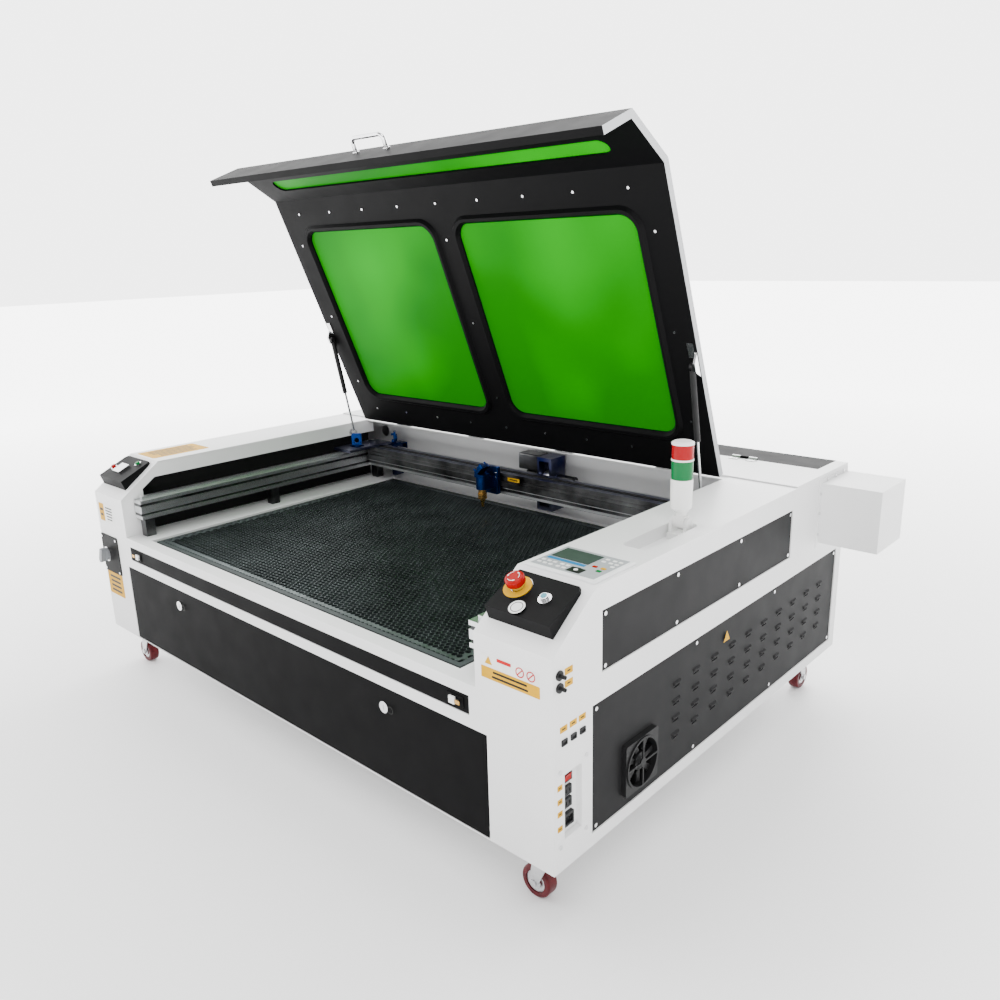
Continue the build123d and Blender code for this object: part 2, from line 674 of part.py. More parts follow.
with BuildPart() as estop:
    with BuildSketch(estop_place.offset(6)):
        Circle(11)
    extrude(amount=10)
    with BuildSketch(estop_place.offset(16)):
        Circle(20)
    extrude(amount=14)
    fillet(estop.faces().filter_by(GeomType.PLANE).sort_by(Axis.Z)[-1].edges(), 5)
save("estop_button", estop.part)


def push_button(label, place, radius, low, high):
    """A round push button with a softened rim, sliding in its bezel."""
    with BuildPart() as button:
        with BuildSketch(place.offset(low)):
            Circle(radius)
        extrude(amount=high - low)
        fillet(button.faces().filter_by(GeomType.PLANE).sort_by(Axis.Z)[-1].edges(), 1.2)
    save(label, button.part)


push_button("start_button", start_place, 9.0, 4.2, 11.0)
push_button("red_button", red_place, 7.0, 3.2, 11.0)
push_button("green_button", green_place, 7.0, 3.2, 8.0)

with BuildPart() as isolator_knob:
    with BuildSketch(isolator_place.offset(0.3)):
        Circle(7)
    extrude(amount=4.2)
    with BuildSketch(isolator_place.offset(4.5)):
        Circle(20)
    extrude(amount=6)
    with BuildSketch(isolator_place.offset(10.5)):
        SlotOverall(52, 17, rotation=70)
    extrude(amount=16)
save("isolator_knob", isolator_knob.part)

# ================================================================ signal tower
signal_y = recess_y1 - 32.0
signal_pin_z = top_z + 8.0
signal_pin_radius = 4.0
signal_base = [slab(recess_x - 23, recess_x + 23, signal_y - 20, signal_y + 20,
                    recess_floor, recess_floor + 14)]
for side in (-1, 1):
    with BuildPart() as ear:
        with BuildSketch(Plane.YZ.offset(recess_x + side * 19 - 4)):
            with Locations((signal_y, (recess_floor + 14 + signal_pin_z) / 2)):
                Rectangle(26, signal_pin_z - recess_floor - 14)
            with Locations((signal_y, signal_pin_z)):
                Circle(13)
        extrude(amount=8)
    signal_base.append(ear.part)
signal_base.append(bar(signal_pin_radius, (recess_x - 15, signal_y, signal_pin_z),
                       (recess_x + 15, signal_y, signal_pin_z)))
save("signal_base", *signal_base)

stack_rise = 26.0
stack_lower, stack_green, stack_collar, stack_red, stack_cap = 75.0, 42.0, 4.0, 32.0, 8.0
with BuildPart() as stack:
    with BuildSketch(Plane.YZ.offset(recess_x - 14)):
        with Locations((signal_y, signal_pin_z)):
            Circle(12)
            with Locations((0, 8)):
                Rectangle(24, 16)
            Circle(signal_pin_radius + 0.05, mode=Mode.SUBTRACT)
    extrude(amount=28)
    with BuildSketch(Plane.XY.offset(signal_pin_z + 15)):
        with Locations((recess_x, signal_y)):
            Circle(12)
    extrude(amount=stack_rise - 15)
    with BuildSketch(Plane.XZ.offset(-signal_y)):
        with BuildLine():
            z0 = signal_pin_z + stack_rise
            z1 = z0 + stack_lower
            z2 = z1 + stack_green
            z3 = z2 + stack_collar
            z4 = z3 + stack_red
            z5 = z4 + stack_cap
            Polyline((recess_x, z0), (recess_x + 15, z0), (recess_x + 24, z0 + 9), (recess_x + 25, z1),
                     (recess_x + 24, z1), (recess_x + 24, z2), (recess_x + 25, z2),
                     (recess_x + 25, z3), (recess_x + 24, z3), (recess_x + 24, z4),
                     (recess_x + 25, z4), (recess_x + 25, z5 - 3), (recess_x + 20, z5),
                     (recess_x, z5), close=True)
        make_face()
    revolve(axis=Axis((recess_x, signal_y, 0), (0, 0, 1)))
save("signal_stack", stack.part)

# ================================================================ motion system
rail_width, rail_top = 44.0, deck_z + 117.0
rail_low = rail_top - 60.0
rail_y0, rail_y1 = front + 37.0, seam_y + 10.0
rail_inset = 5.0
guide_width, guide_height = 15.0, 10.0
carriage_gap = 0.5
rest_beam_y = seam_y - 50.0
beam_depth, beam_low, beam_high = 60.0, rail_low + 5.0, rail_top + 15.0
drive_y, drive_z, drive_radius = seam_y + 53.0, deck_z + 103.0, 8.0


def rail_span(side):
    """Outer and inner x of one Y rail."""
    inside = left_in if side < 0 else right_in
    return inside - side * rail_inset, inside - side * (rail_inset + rail_width)


rails = []
for side in (-1, 1):
    outer, inner = rail_span(side)
    low_x, high_x = min(outer, inner), max(outer, inner)
    with BuildPart() as rail:
        with Locations(((low_x + high_x) / 2, (rail_y0 + rail_y1) / 2, (rail_low + rail_top) / 2)):
            Box(rail_width, rail_y1 - rail_y0, rail_top - rail_low)
        for slot_z in (rail_low + 15, rail_top - 15):
            with Locations((inner + side * 3, (rail_y0 + rail_y1) / 2, slot_z)):
                Box(6, rail_y1 - rail_y0, 8, mode=Mode.SUBTRACT)
        with Locations(((low_x + high_x) / 2 + side * 14, (rail_y0 + rail_y1) / 2, rail_top - 3)):
            Box(6, rail_y1 - rail_y0, 6, mode=Mode.SUBTRACT)
    rails.append(rail.part)
    middle = (low_x + high_x) / 2
    rails.append(slab(middle - guide_width / 2, middle + guide_width / 2, rail_y0 + 13, rail_y1 - 10,
                      rail_top, rail_top + guide_height))
    for leg_y in (rail_y0 + 25, -150, rail_y1 - 25):
        rails.append(slab(middle - 15, middle + 15, leg_y - 15, leg_y + 15, deck_z, rail_low))
save("y_rails", *rails)

beam_y0, beam_y1 = rest_beam_y - beam_depth / 2, rest_beam_y + beam_depth / 2
left_rail_x = sum(rail_span(-1)) / 2
right_rail_x = sum(rail_span(1)) / 2
beam_x0 = max(rail_span(-1)) + 8
beam_x1 = min(rail_span(1)) - 8
plate_low = beam_high
plate_high = plate_low + 10
x_guide_z = beam_low + 36.0
x_guide_proud = 8.0
beam_parts = []
with BuildPart() as beam:
    with Locations(((beam_x0 + beam_x1) / 2, rest_beam_y, (beam_low + beam_high) / 2)):
        Box(beam_x1 - beam_x0, beam_depth, beam_high - beam_low)
    with BuildSketch(Plane.YZ.offset(beam_x0)):
        with Locations((rest_beam_y, (beam_low + beam_high) / 2)):
            Rectangle(beam_depth - 12, beam_high - beam_low - 12)
    extrude(amount=beam_x1 - beam_x0, mode=Mode.SUBTRACT)
    for slot_z in (beam_low + 14, beam_high - 12):
        with Locations(((beam_x0 + beam_x1) / 2, beam_y0 + 2, slot_z)):
            Box(beam_x1 - beam_x0, 4, 8, mode=Mode.SUBTRACT)
beam_parts.append(beam.part)
beam_parts.append(slab(beam_x0 + 20, beam_x1 - 20, beam_y0 - x_guide_proud, beam_y0,
                       x_guide_z - guide_width / 2, x_guide_z + guide_width / 2))
for side, rail_x in ((-1, left_rail_x), (1, right_rail_x)):
    with BuildPart() as truck:
        with Locations((rail_x, rest_beam_y, (rail_top + carriage_gap + plate_low) / 2)):
            Box(34, 78, plate_low - rail_top - carriage_gap)
        with Locations((rail_x, rest_beam_y, rail_top + guide_height / 2)):
            Box(guide_width + 2 * carriage_gap, 78, guide_height + 2 * carriage_gap, mode=Mode.SUBTRACT)
    beam_parts.append(truck.part)
    reach = 145 if side < 0 else 50
    beam_parts.append(slab(rail_x + side * 22, rail_x - side * 70, rest_beam_y - reach,
                           rest_beam_y + 50, plate_low, plate_high))
motor_x = beam_x1 - 45
with BuildPart() as x_motor:
    with Locations((motor_x, beam_y1 + 20, beam_low + 28)):
        Box(56, 40, 56)
    fillet(x_motor.edges().filter_by(Axis.Y), 5)
beam_parts.append(x_motor.part)
save("gantry_beam", *beam_parts)


def mirror_block(x, y, z, heading):
    """Adjustable mirror mount: foot, backplate, round cell and three thumb screws."""
    foot = slab(x - 18, x + 18, y - 18, y + 18, z, z + 4)
    facing = Plane(origin=(x, y, z + 26), x_dir=(math.cos(heading), math.sin(heading), 0),
                   z_dir=(-math.sin(heading), math.cos(heading), 0))
    with BuildPart() as body:
        with BuildSketch(facing):
            RectangleRounded(36, 44, 5)
            with Locations((0, 4)):
                Circle(9, mode=Mode.SUBTRACT)
        extrude(amount=8)
        with BuildSketch(facing.offset(8)):
            with Locations((0, 4)):
                Circle(15)
                Circle(10, mode=Mode.SUBTRACT)
        extrude(amount=4)
        with BuildSketch(facing):
            with Locations((-12, 16), (12, 16), (12, -12)):
                Circle(4)
        extrude(amount=-9)
    return [foot, body.part]


second_mirror_x = left_rail_x + 31.0
save("second_mirror", *mirror_block(second_mirror_x, rest_beam_y - 80, plate_high, math.radians(45)))
bracket_z = rail_top
first_mirror_y = seam_y + 50.0
first_bracket = [
    slab(left_rail_x + 8, left_rail_x + 54, first_mirror_y - 22, tube_wall_y, bracket_z, bracket_z + 4),
    slab(left_rail_x + 8, left_rail_x + 54, tube_wall_y - 4, tube_wall_y, bracket_z - 40, bracket_z),
]
save("first_mirror", *first_bracket,
     *mirror_block(second_mirror_x, first_mirror_y, bracket_z + 4, math.radians(-45)))

# ---------------------------------------------------------------- laser head
head_x = -58.0
head_y1 = beam_y0 - x_guide_proud
head_parts = []
with BuildPart() as head_plate:
    with Locations((head_x, head_y1 - 6.5, x_guide_z + 11)):
        Box(84, 12, 92)
    fillet(head_plate.edges().filter_by(Axis.Y), 6)
head_parts.append(head_plate.part)
head_jaws = []
for jaw_z in (x_guide_z - guide_width / 2 - 7, x_guide_z + guide_width / 2 + 7):
    head_jaws.append(slab(head_x - 36, head_x + 36, head_y1 - 0.5, beam_y0 - 0.5, jaw_z - 6.5, jaw_z + 6.5))
head_parts += head_jaws
lens_y = head_y1 - 42.0
head_clamp_low, head_clamp_high = x_guide_z - 15.0, x_guide_z + 25.0
with BuildPart() as head_clamp:
    with Locations((head_x, (head_y1 - 12.5 + lens_y) / 2, (head_clamp_low + head_clamp_high) / 2)):
        Box(40, head_y1 - 12.5 - lens_y, head_clamp_high - head_clamp_low)
    with BuildSketch(Plane.XY.offset(head_clamp_low)):
        with Locations((head_x, lens_y)):
            Circle(20)
    extrude(amount=head_clamp_high - head_clamp_low)
    with BuildSketch(Plane.XY.offset(head_clamp_low)):
        with Locations((head_x, lens_y)):
            Circle(13.05)
    extrude(amount=head_clamp_high - head_clamp_low, mode=Mode.SUBTRACT)
head_parts.append(head_clamp.part)
head_tilt = Plane(origin=(head_x, lens_y, head_clamp_high + 24), x_dir=(0, 1, 0), z_dir=(-1, 0, 1))
with BuildPart() as head_mirror:
    with BuildSketch(Plane.XY.offset(head_clamp_high)):
        with Locations((head_x, lens_y)):
            RectangleRounded(40, 36, 4)
    extrude(amount=10)
    with BuildSketch(head_tilt.offset(-6)):
        RectangleRounded(38, 44, 5)
    extrude(amount=12)
    with BuildSketch(head_tilt.offset(6)):
        Circle(13)
    extrude(amount=6)
    with BuildSketch(head_tilt.offset(6)):
        with Locations((-13, 15), (13, 15), (13, -15)):
            Circle(3.5)
    extrude(amount=10)
head_parts.append(head_mirror.part)
save("laser_head", *head_parts)

with BuildPart() as lens:
    with BuildSketch(Plane.XZ.offset(-lens_y)):
        with BuildLine():
            tip = head_clamp_low - 60
            Polyline((head_x, tip), (head_x + 4, tip), (head_x + 6, tip + 14), (head_x + 11, tip + 28),
                     (head_x + 15, tip + 28), (head_x + 15, tip + 46), (head_x + 13, tip + 46),
                     (head_x + 13, tip + 92), (head_x, tip + 92), close=True)
        make_face()
    revolve(axis=Axis((head_x, lens_y, 0), (0, 0, 1)))
save("lens_tube", lens.part)

# ---------------------------------------------------------------- Y drive
reducer_x0, reducer_x1 = 50.0, 112.0
reducer_top = deck_z + 176.0
motor_size, motor_z = 54.0, deck_z + 151.0
coupling_radius = 17.5
drive_parts = []
for x0, x1 in ((reducer_x0, reducer_x0 + 10), (reducer_x1 - 10, reducer_x1)):
    with BuildPart() as cheek_plate:
        with BuildSketch(Plane.YZ.offset(x0)):
            with Locations((drive_y, (deck_z + reducer_top) / 2)):
                Rectangle(72, reducer_top - deck_z)
            with Locations((drive_y, drive_z)):
                Circle(drive_radius + 0.05, mode=Mode.SUBTRACT)
        extrude(amount=x1 - x0)
    drive_parts.append(cheek_plate.part)
drive_parts.append(slab(reducer_x0 + 10, reducer_x1 - 10, drive_y - 36, drive_y + 36,
                        reducer_top - 12, reducer_top))
drive_parts.append(slab(reducer_x0 + 10, reducer_x1 - 10, drive_y - 36, drive_y + 36, deck_z, deck_z + 12))
with BuildPart() as y_motor:
    with Locations((reducer_x0 - 42, drive_y, motor_z)):
        Box(84, motor_size, motor_size)
    fillet(y_motor.edges().filter_by(Axis.X), 5)
drive_parts.append(y_motor.part)
drive_parts.append(ring(18, drive_radius + 0.05, (reducer_x1, drive_y, drive_z),
                        (reducer_x1 + 5, drive_y, drive_z)))
bearing_xs = (max(rail_span(-1)) + 20, min(rail_span(1)) - 20)
for x in bearing_xs:
    with BuildPart() as bearing:
        with BuildSketch(Plane.YZ.offset(x - 8)):
            with Locations((drive_y, (deck_z + drive_z + 12) / 2)):
                Rectangle(44, drive_z + 12 - deck_z)
            with Locations((drive_y, drive_z)):
                Circle(drive_radius + 0.05, mode=Mode.SUBTRACT)
        extrude(amount=16)
    drive_parts.append(bearing.part)
save("drive_motor", *drive_parts)

shaft_x0, shaft_x1 = min(rail_span(-1)) + 2, max(rail_span(1)) - 2
with BuildPart() as drive_shaft:
    with BuildSketch(Plane.YZ.offset(shaft_x0)):
        with Locations((drive_y, drive_z)):
            Circle(drive_radius)
    extrude(amount=shaft_x1 - shaft_x0)
    for x0, x1, radius in ((reducer_x0 - 65, reducer_x0 - 5, coupling_radius),
                           (reducer_x1 + 8, reducer_x1 + 68, coupling_radius),
                           (reducer_x0 + 14, reducer_x1 - 14, 24),
                           (shaft_x0, shaft_x0 + 24, 20), (shaft_x1 - 24, shaft_x1, 20)):
        with BuildSketch(Plane.YZ.offset(x0)):
            with Locations((drive_y, drive_z)):
                Circle(radius)
        extrude(amount=x1 - x0)
    for x in (reducer_x0 - 35, reducer_x1 + 38):
        for shift in (-20, -12, -4, 4, 12, 20):
            with BuildSketch(Plane.YZ.offset(x + shift - 1)):
                with Locations((drive_y, drive_z)):
                    Circle(coupling_radius + 1)
                    Circle(coupling_radius - 2.5, mode=Mode.SUBTRACT)
            extrude(amount=2.5, mode=Mode.SUBTRACT)
save("drive_shaft", drive_shaft.part)

# ================================================================ lifting bed
bed_top = deck_z - bed_drop
comb_x = bed_x - bed_gap
comb_y0, comb_y1 = bed_y0 + bed_gap, bed_y1 - bed_gap
comb_low = bed_top - honeycomb_thickness
frame_low = comb_low - bed_tube
comb_sheet, comb_rim = 1.5, 10.0
comb_inside = (comb_low + comb_sheet, bed_top - comb_sheet)
comb = [
    slab(-comb_x, comb_x, comb_y0, comb_y1, bed_top - comb_sheet, bed_top),
    slab(-comb_x, comb_x, comb_y0, comb_y1, comb_low, comb_low + comb_sheet),
    slab(-comb_x, comb_x, comb_y0, comb_y0 + comb_rim, *comb_inside),
    slab(-comb_x, comb_x, comb_y1 - comb_rim, comb_y1, *comb_inside),
]
for x in (-comb_x, comb_x - comb_rim):
    comb.append(slab(x, x + comb_rim, comb_y0 + comb_rim, comb_y1 - comb_rim, *comb_inside))
for k in range(1, 6):
    x = -comb_x + comb_x * k / 3
    comb.append(slab(x - 1, x + 1, comb_y0 + comb_rim, comb_y1 - comb_rim, *comb_inside))
save("honeycomb", *comb)
bed_parts = []
for side in (-1, 1):
    bed_parts.append(slab(side * comb_x, side * (comb_x - 30), comb_y0, comb_y1, frame_low, comb_low))
cross_y = [comb_y0, (comb_y0 + comb_y1) / 2 - 15, comb_y1 - 30]
for y in cross_y:
    bed_parts.append(slab(-comb_x + 30, comb_x - 30, y, y + 30, frame_low, comb_low))
for x in (-lift_x, lift_x):
    for y in lift_y:
        pad = slab(x - 22, x + 22, y - 22, y + 22, frame_low, frame_low + 8)
        edge = math.copysign(comb_x - 30, x)
        arm = slab(x + math.copysign(22, x), edge, y - 22, y + 22, frame_low, frame_low + 8)
        bed_parts += [pad, arm, bar(screw_radius, (x, y, lift_nut_top + 6), (x, y, frame_low))]
save("bed_frame", *bed_parts)

# ================================================================ lid
hinge_y = seam_y - hinge_setback
hinge_z = top_z + 4.0
hinge_radius = 5.0
lid_x0 = left_in + lid_side_gap
lid_x1 = right_in - lid_side_gap
panel_start = 12.0
lid_skin_n = top_z - hinge_z
window_low, window_high = 133.0, hinge_y - slope_back - 115.0
window_outer, window_inner = (lid_x1 - lid_x0) / 2 - 105.5, 53.0
window_radius = 45.0
window_shift = (lid_x0 + lid_x1) / 2
slit_half, slit_low, slit_high = (lid_x1 - lid_x0) / 2 - 103.5, 54.0, 104.0
lip_clearance = 9.0

lid_tilt = math.radians(lid_angle)
lid_u = Vector(0, -math.cos(lid_tilt), math.sin(lid_tilt))
lid_n = Vector(0, math.sin(lid_tilt), math.cos(lid_tilt))
hinge_point = Vector(0, hinge_y, hinge_z)
lid_side = Plane(origin=hinge_point, x_dir=lid_u, z_dir=Vector(1, 0, 0))
side_sign = 1.0 if lid_side.y_dir.dot(lid_n) > 0 else -1.0
main_end = hinge_y - slope_back
lip_low = hinge_z - (deck_z + lip_clearance)


def lid_point(s, n):
    """A place on the lid: s out from the hinge line, n up from it when the lid is shut."""
    return hinge_point + lid_u * s + lid_n * n


def lid_slice(outline, x0, x1):
    """A lid solid of constant section, drawn in (s, n) and carried along X."""
    with BuildPart() as piece:
        with BuildSketch(Plane(origin=hinge_point + Vector(x0, 0, 0), x_dir=lid_u,
                               z_dir=Vector(1, 0, 0))):
            with BuildLine():
                Polyline(*[(s, side_sign * n) for s, n in outline], close=True)
            make_face()
        extrude(amount=x1 - x0)
    return piece.part


skin_n = lid_skin_n
under_n = lid_skin_n - lid_thickness
half_bend = math.radians(slope_angle) / 2
bend_shift = lid_thickness * math.tan(half_bend)
slope_end_s, slope_end_n = main_end + slope_run, skin_n - slope_rise
lip_turn = math.radians(90 - slope_angle) / 2
inner_corner_n = slope_end_n - lid_thickness * math.tan(lip_turn)
inner_corner_s = slope_end_s - lid_thickness

main_profile = [(panel_start, skin_n), (main_end, skin_n), (main_end - bend_shift, under_n),
                (panel_start, under_n)]
slope_profile = [(main_end, skin_n), (slope_end_s, slope_end_n), (inner_corner_s, inner_corner_n),
                 (main_end - bend_shift, under_n)]
lip_profile = [(slope_end_s, slope_end_n), (slope_end_s, -lip_low), (inner_corner_s, -lip_low),
               (inner_corner_s, inner_corner_n)]

window_mid = (window_low + window_high) / 2
window_tall = window_high - window_low
window_wide = window_outer - window_inner
window_xs = (window_shift - (window_outer + window_inner) / 2,
             window_shift + (window_outer + window_inner) / 2)
face_plane = Plane(origin=lid_point(0, skin_n), x_dir=(1, 0, 0), z_dir=lid_n)
along_sign = 1.0 if face_plane.y_dir.dot(lid_u) > 0 else -1.0
with BuildPart() as lid_main:
    add(lid_slice(main_profile, lid_x0, lid_x1))
    with BuildSketch(face_plane):
        with Locations(*[(x, along_sign * window_mid) for x in window_xs]):
            RectangleRounded(window_wide, window_tall, window_radius)
    extrude(amount=-lid_thickness, mode=Mode.SUBTRACT)
    with BuildSketch(face_plane.offset(-lid_thickness)):
        with Locations(*[(x, along_sign * window_mid) for x in window_xs]):
            RectangleRounded(window_wide + 46, window_tall + 46, window_radius + 18)
            RectangleRounded(window_wide, window_tall, window_radius, mode=Mode.SUBTRACT)
    extrude(amount=-9, taper=40)
    with BuildSketch(face_plane.offset(-lid_sheet)):
        with Locations((window_shift, along_sign * (panel_start + main_end - 8 + lid_sheet) / 2)):
            Rectangle(lid_x1 - lid_x0 - 2 * lid_sheet, main_end - 8 - panel_start - lid_sheet)
        with Locations(*[(x, along_sign * window_mid) for x in window_xs]):
            RectangleRounded(window_wide + 54, window_tall + 54, window_radius + 20, mode=Mode.SUBTRACT)
    extrude(amount=-(lid_thickness - 2 * lid_sheet), mode=Mode.SUBTRACT)
    for x in (-400, 0, 400):
        drain = Vector(x, 0, 0) + lid_point(panel_start - 1, skin_n - lid_thickness / 2)
        add(bar(3, drain, drain + lid_u * 4), mode=Mode.SUBTRACT)

slope_cos, slope_sin = math.cos(math.radians(slope_angle)), math.sin(math.radians(slope_angle))
slope_dir = lid_u * slope_cos - lid_n * slope_sin
slope_out = lid_u * slope_sin + lid_n * slope_cos
slit_plane = Plane(origin=lid_point(main_end, skin_n), x_dir=(1, 0, 0), z_dir=slope_out)
slit_sign = 1.0 if slit_plane.y_dir.dot(slope_dir) > 0 else -1.0
slit_mid, slit_tall = (slit_low + slit_high) / 2, slit_high - slit_low
with BuildPart() as lid_slope:
    add(lid_slice(slope_profile, lid_x0, lid_x1))
    with BuildSketch(slit_plane):
        with Locations((window_shift, slit_sign * slit_mid)):
            SlotOverall(2 * slit_half, slit_tall)
    extrude(amount=-lid_thickness, mode=Mode.SUBTRACT)
    with BuildSketch(slit_plane.offset(-lid_sheet)):
        with Locations((window_shift, slit_sign * (8 + slope_length - 12) / 2)):
            Rectangle(lid_x1 - lid_x0 - 2 * lid_sheet, slope_length - 20)
        with Locations((window_shift, slit_sign * slit_mid)):
            SlotOverall(2 * slit_half + 10, slit_tall + 10, mode=Mode.SUBTRACT)
    extrude(amount=-(lid_thickness - 2 * lid_sheet), mode=Mode.SUBTRACT)
    drain = Vector(lid_x0, 0, 0) + lid_point(main_end, skin_n) + slope_dir * 125 - slope_out * 9
    add(bar(3, drain - Vector(1, 0, 0), drain + Vector(3, 0, 0)), mode=Mode.SUBTRACT)
with BuildPart() as lid_lip:
    add(lid_slice(lip_profile, lid_x0, lid_x1))
    lip_top_n = inner_corner_n - 4
    add(lid_slice([(slope_end_s - lid_sheet, lip_top_n), (slope_end_s - lid_sheet, -lip_low + lid_sheet),
                   (inner_corner_s + lid_sheet, -lip_low + lid_sheet),
                   (inner_corner_s + lid_sheet, lip_top_n)], lid_x0 + lid_sheet, lid_x1 - lid_sheet),
        mode=Mode.SUBTRACT)
    drain = Vector(lid_x0, 0, 0) + lid_point(slope_end_s - 9, -lip_low + 20)
    add(bar(3, drain - Vector(1, 0, 0), drain + Vector(3, 0, 0)), mode=Mode.SUBTRACT)

hinge_xs = (-560.0, -190.0, 190.0, 560.0)
knuckle = 24.0
lid_leaves = []
for x in hinge_xs:
    with BuildPart() as leaf:
        add(lid_slice([(0, skin_n + 3), (46, skin_n + 3), (46, skin_n), (0, skin_n)],
                      x - knuckle / 2, x + knuckle / 2))
        with BuildSketch(Plane(origin=(x - knuckle / 2, hinge_y, hinge_z), z_dir=(1, 0, 0))):
            Circle(hinge_radius)
        extrude(amount=knuckle)
        with BuildSketch(Plane(origin=(x - knuckle / 2, hinge_y, hinge_z), z_dir=(1, 0, 0))):
            Circle(2.05)
        extrude(amount=knuckle, mode=Mode.SUBTRACT)
    lid_leaves.append(leaf.part)
save("lid_frame", lid_main.part, lid_slope.part, lid_lip.part, *lid_leaves)

pane = 4.0
with BuildPart() as panes:
    with BuildSketch(face_plane.offset(-8)):
        with Locations(*[(x, along_sign * window_mid) for x in window_xs]):
            RectangleRounded(window_wide - seam, window_tall - seam, window_radius - seam / 2)
    extrude(amount=-pane)
with BuildPart() as slit_pane:
    with BuildSketch(slit_plane.offset(-8)):
        with Locations((window_shift, slit_sign * slit_mid)):
            SlotOverall(2 * slit_half - seam, slit_tall - seam)
    extrude(amount=-pane)
save("lid_windows", panes.part, slit_pane.part)

# ---------------------------------------------------------------- struts
strut_s, strut_n = 350.0, -32.0
stud_y, stud_z = seam_y - 107.0, top_z - 33.0
strut_offset = 20.0
stud_radius = 4.0
tube_outer, rod_outer = 8.0, 4.0
ball_open = lid_point(strut_s, strut_n)
stud_point = Vector(0, stud_y, stud_z)
strut_span = ball_open - stud_point
strut_length = strut_span.length
strut_dir = strut_span.normalized()
shut_ball = Vector(0, hinge_y - strut_s, hinge_z + strut_n)
shut_length = (shut_ball - stud_point).length
tube_length = 190.0
end_gap = 12.0

lid_fittings = []
lip_face = Plane(origin=lid_point(slope_end_s, slope_end_n), x_dir=(1, 0, 0), z_dir=lid_u)
lip_sign = 1.0 if lip_face.y_dir.dot(lid_n) > 0 else -1.0
handle_half, handle_reach, handle_radius = 62.0, 38.0, 6.0
handle_n = -34.0
handle_x = -54.0
with BuildPart() as handle:
    with BuildLine():
        FilletPolyline(
            Vector(handle_x - handle_half, 0, 0) + lid_point(slope_end_s, slope_end_n + handle_n),
            Vector(handle_x - handle_half, 0, 0) + lid_point(slope_end_s + handle_reach, slope_end_n + handle_n),
            Vector(handle_x + handle_half, 0, 0) + lid_point(slope_end_s + handle_reach, slope_end_n + handle_n),
            Vector(handle_x + handle_half, 0, 0) + lid_point(slope_end_s, slope_end_n + handle_n),
            radius=14)
    with BuildSketch(Plane(origin=Vector(handle_x - handle_half, 0, 0)
                           + lid_point(slope_end_s, slope_end_n + handle_n), z_dir=lid_u)):
        Circle(handle_radius)
    sweep()
lid_fittings.append(handle.part)
for x in (handle_x - handle_half, handle_x + handle_half):
    a = Vector(x, 0, 0) + lid_point(slope_end_s, slope_end_n + handle_n)
    lid_fittings.append(ring(10, handle_radius + 0.2, a, a + lid_u * 3))
for side, inside in ((-1, lid_x0), (1, lid_x1)):
    plate_outer = inside - side * 2
    plate_inner = inside - side * 8
    low_x, high_x = min(plate_outer, plate_inner), max(plate_outer, plate_inner)
    with BuildPart() as lug:
        add(lid_slice([(strut_s - 34, under_n), (strut_s + 34, under_n), (strut_s + 12, strut_n - 9),
                       (strut_s - 12, strut_n - 9)], low_x, high_x))
    lid_fittings.append(lug.part)
    foot_x = inside - side * 26
    lid_fittings.append(lid_slice([(strut_s + 20, under_n), (strut_s + 60, under_n),
                                   (strut_s + 60, under_n - 3), (strut_s + 20, under_n - 3)],
                                  min(plate_inner, foot_x), max(plate_inner, foot_x)))
screw_points = [(x, s) for s in (window_low - 62, window_high + 62)
                for x in [window_shift + 160 * k for k in range(-4, 5)]]
screw_points += [(x, s) for s in (180, 437, 694) for x in (window_shift - 690, window_shift, window_shift + 690)]
for x, s in screw_points:
    a = Vector(x, 0, 0) + lid_point(s, under_n)
    lid_fittings.append(bar(3.5, a, a - lid_n * 2))
save("lid_fittings", *lid_fittings)

hinge_parts = []
for x in hinge_xs:
    for side in (-1, 1):
        near = x + side * (knuckle / 2 + seam)
        far = near + side * knuckle
        hinge_parts.append(slab(near, far, hinge_y, seam_y - 5, flange_z, flange_z + 2))
        a, b = (min(near, far), hinge_y, hinge_z), (max(near, far), hinge_y, hinge_z)
        hinge_parts.append(ring(hinge_radius, 2, a, b))
    hinge_parts.append(bar(2, (x - knuckle * 1.5 - seam, hinge_y, hinge_z),
                           (x + knuckle * 1.5 + seam, hinge_y, hinge_z)))
for side, inside in ((-1, left_in), (1, right_in)):
    strut_x = inside - side * strut_offset
    a, b = sorted([inside, strut_x - side * 6])
    hinge_parts.append(bar(stud_radius, (a, stud_y, stud_z), (b, stud_y, stud_z)))
    a, b = sorted([inside, inside - side * 5])
    hinge_parts.append(bar(11, (a, stud_y, stud_z), (b, stud_y, stud_z)))

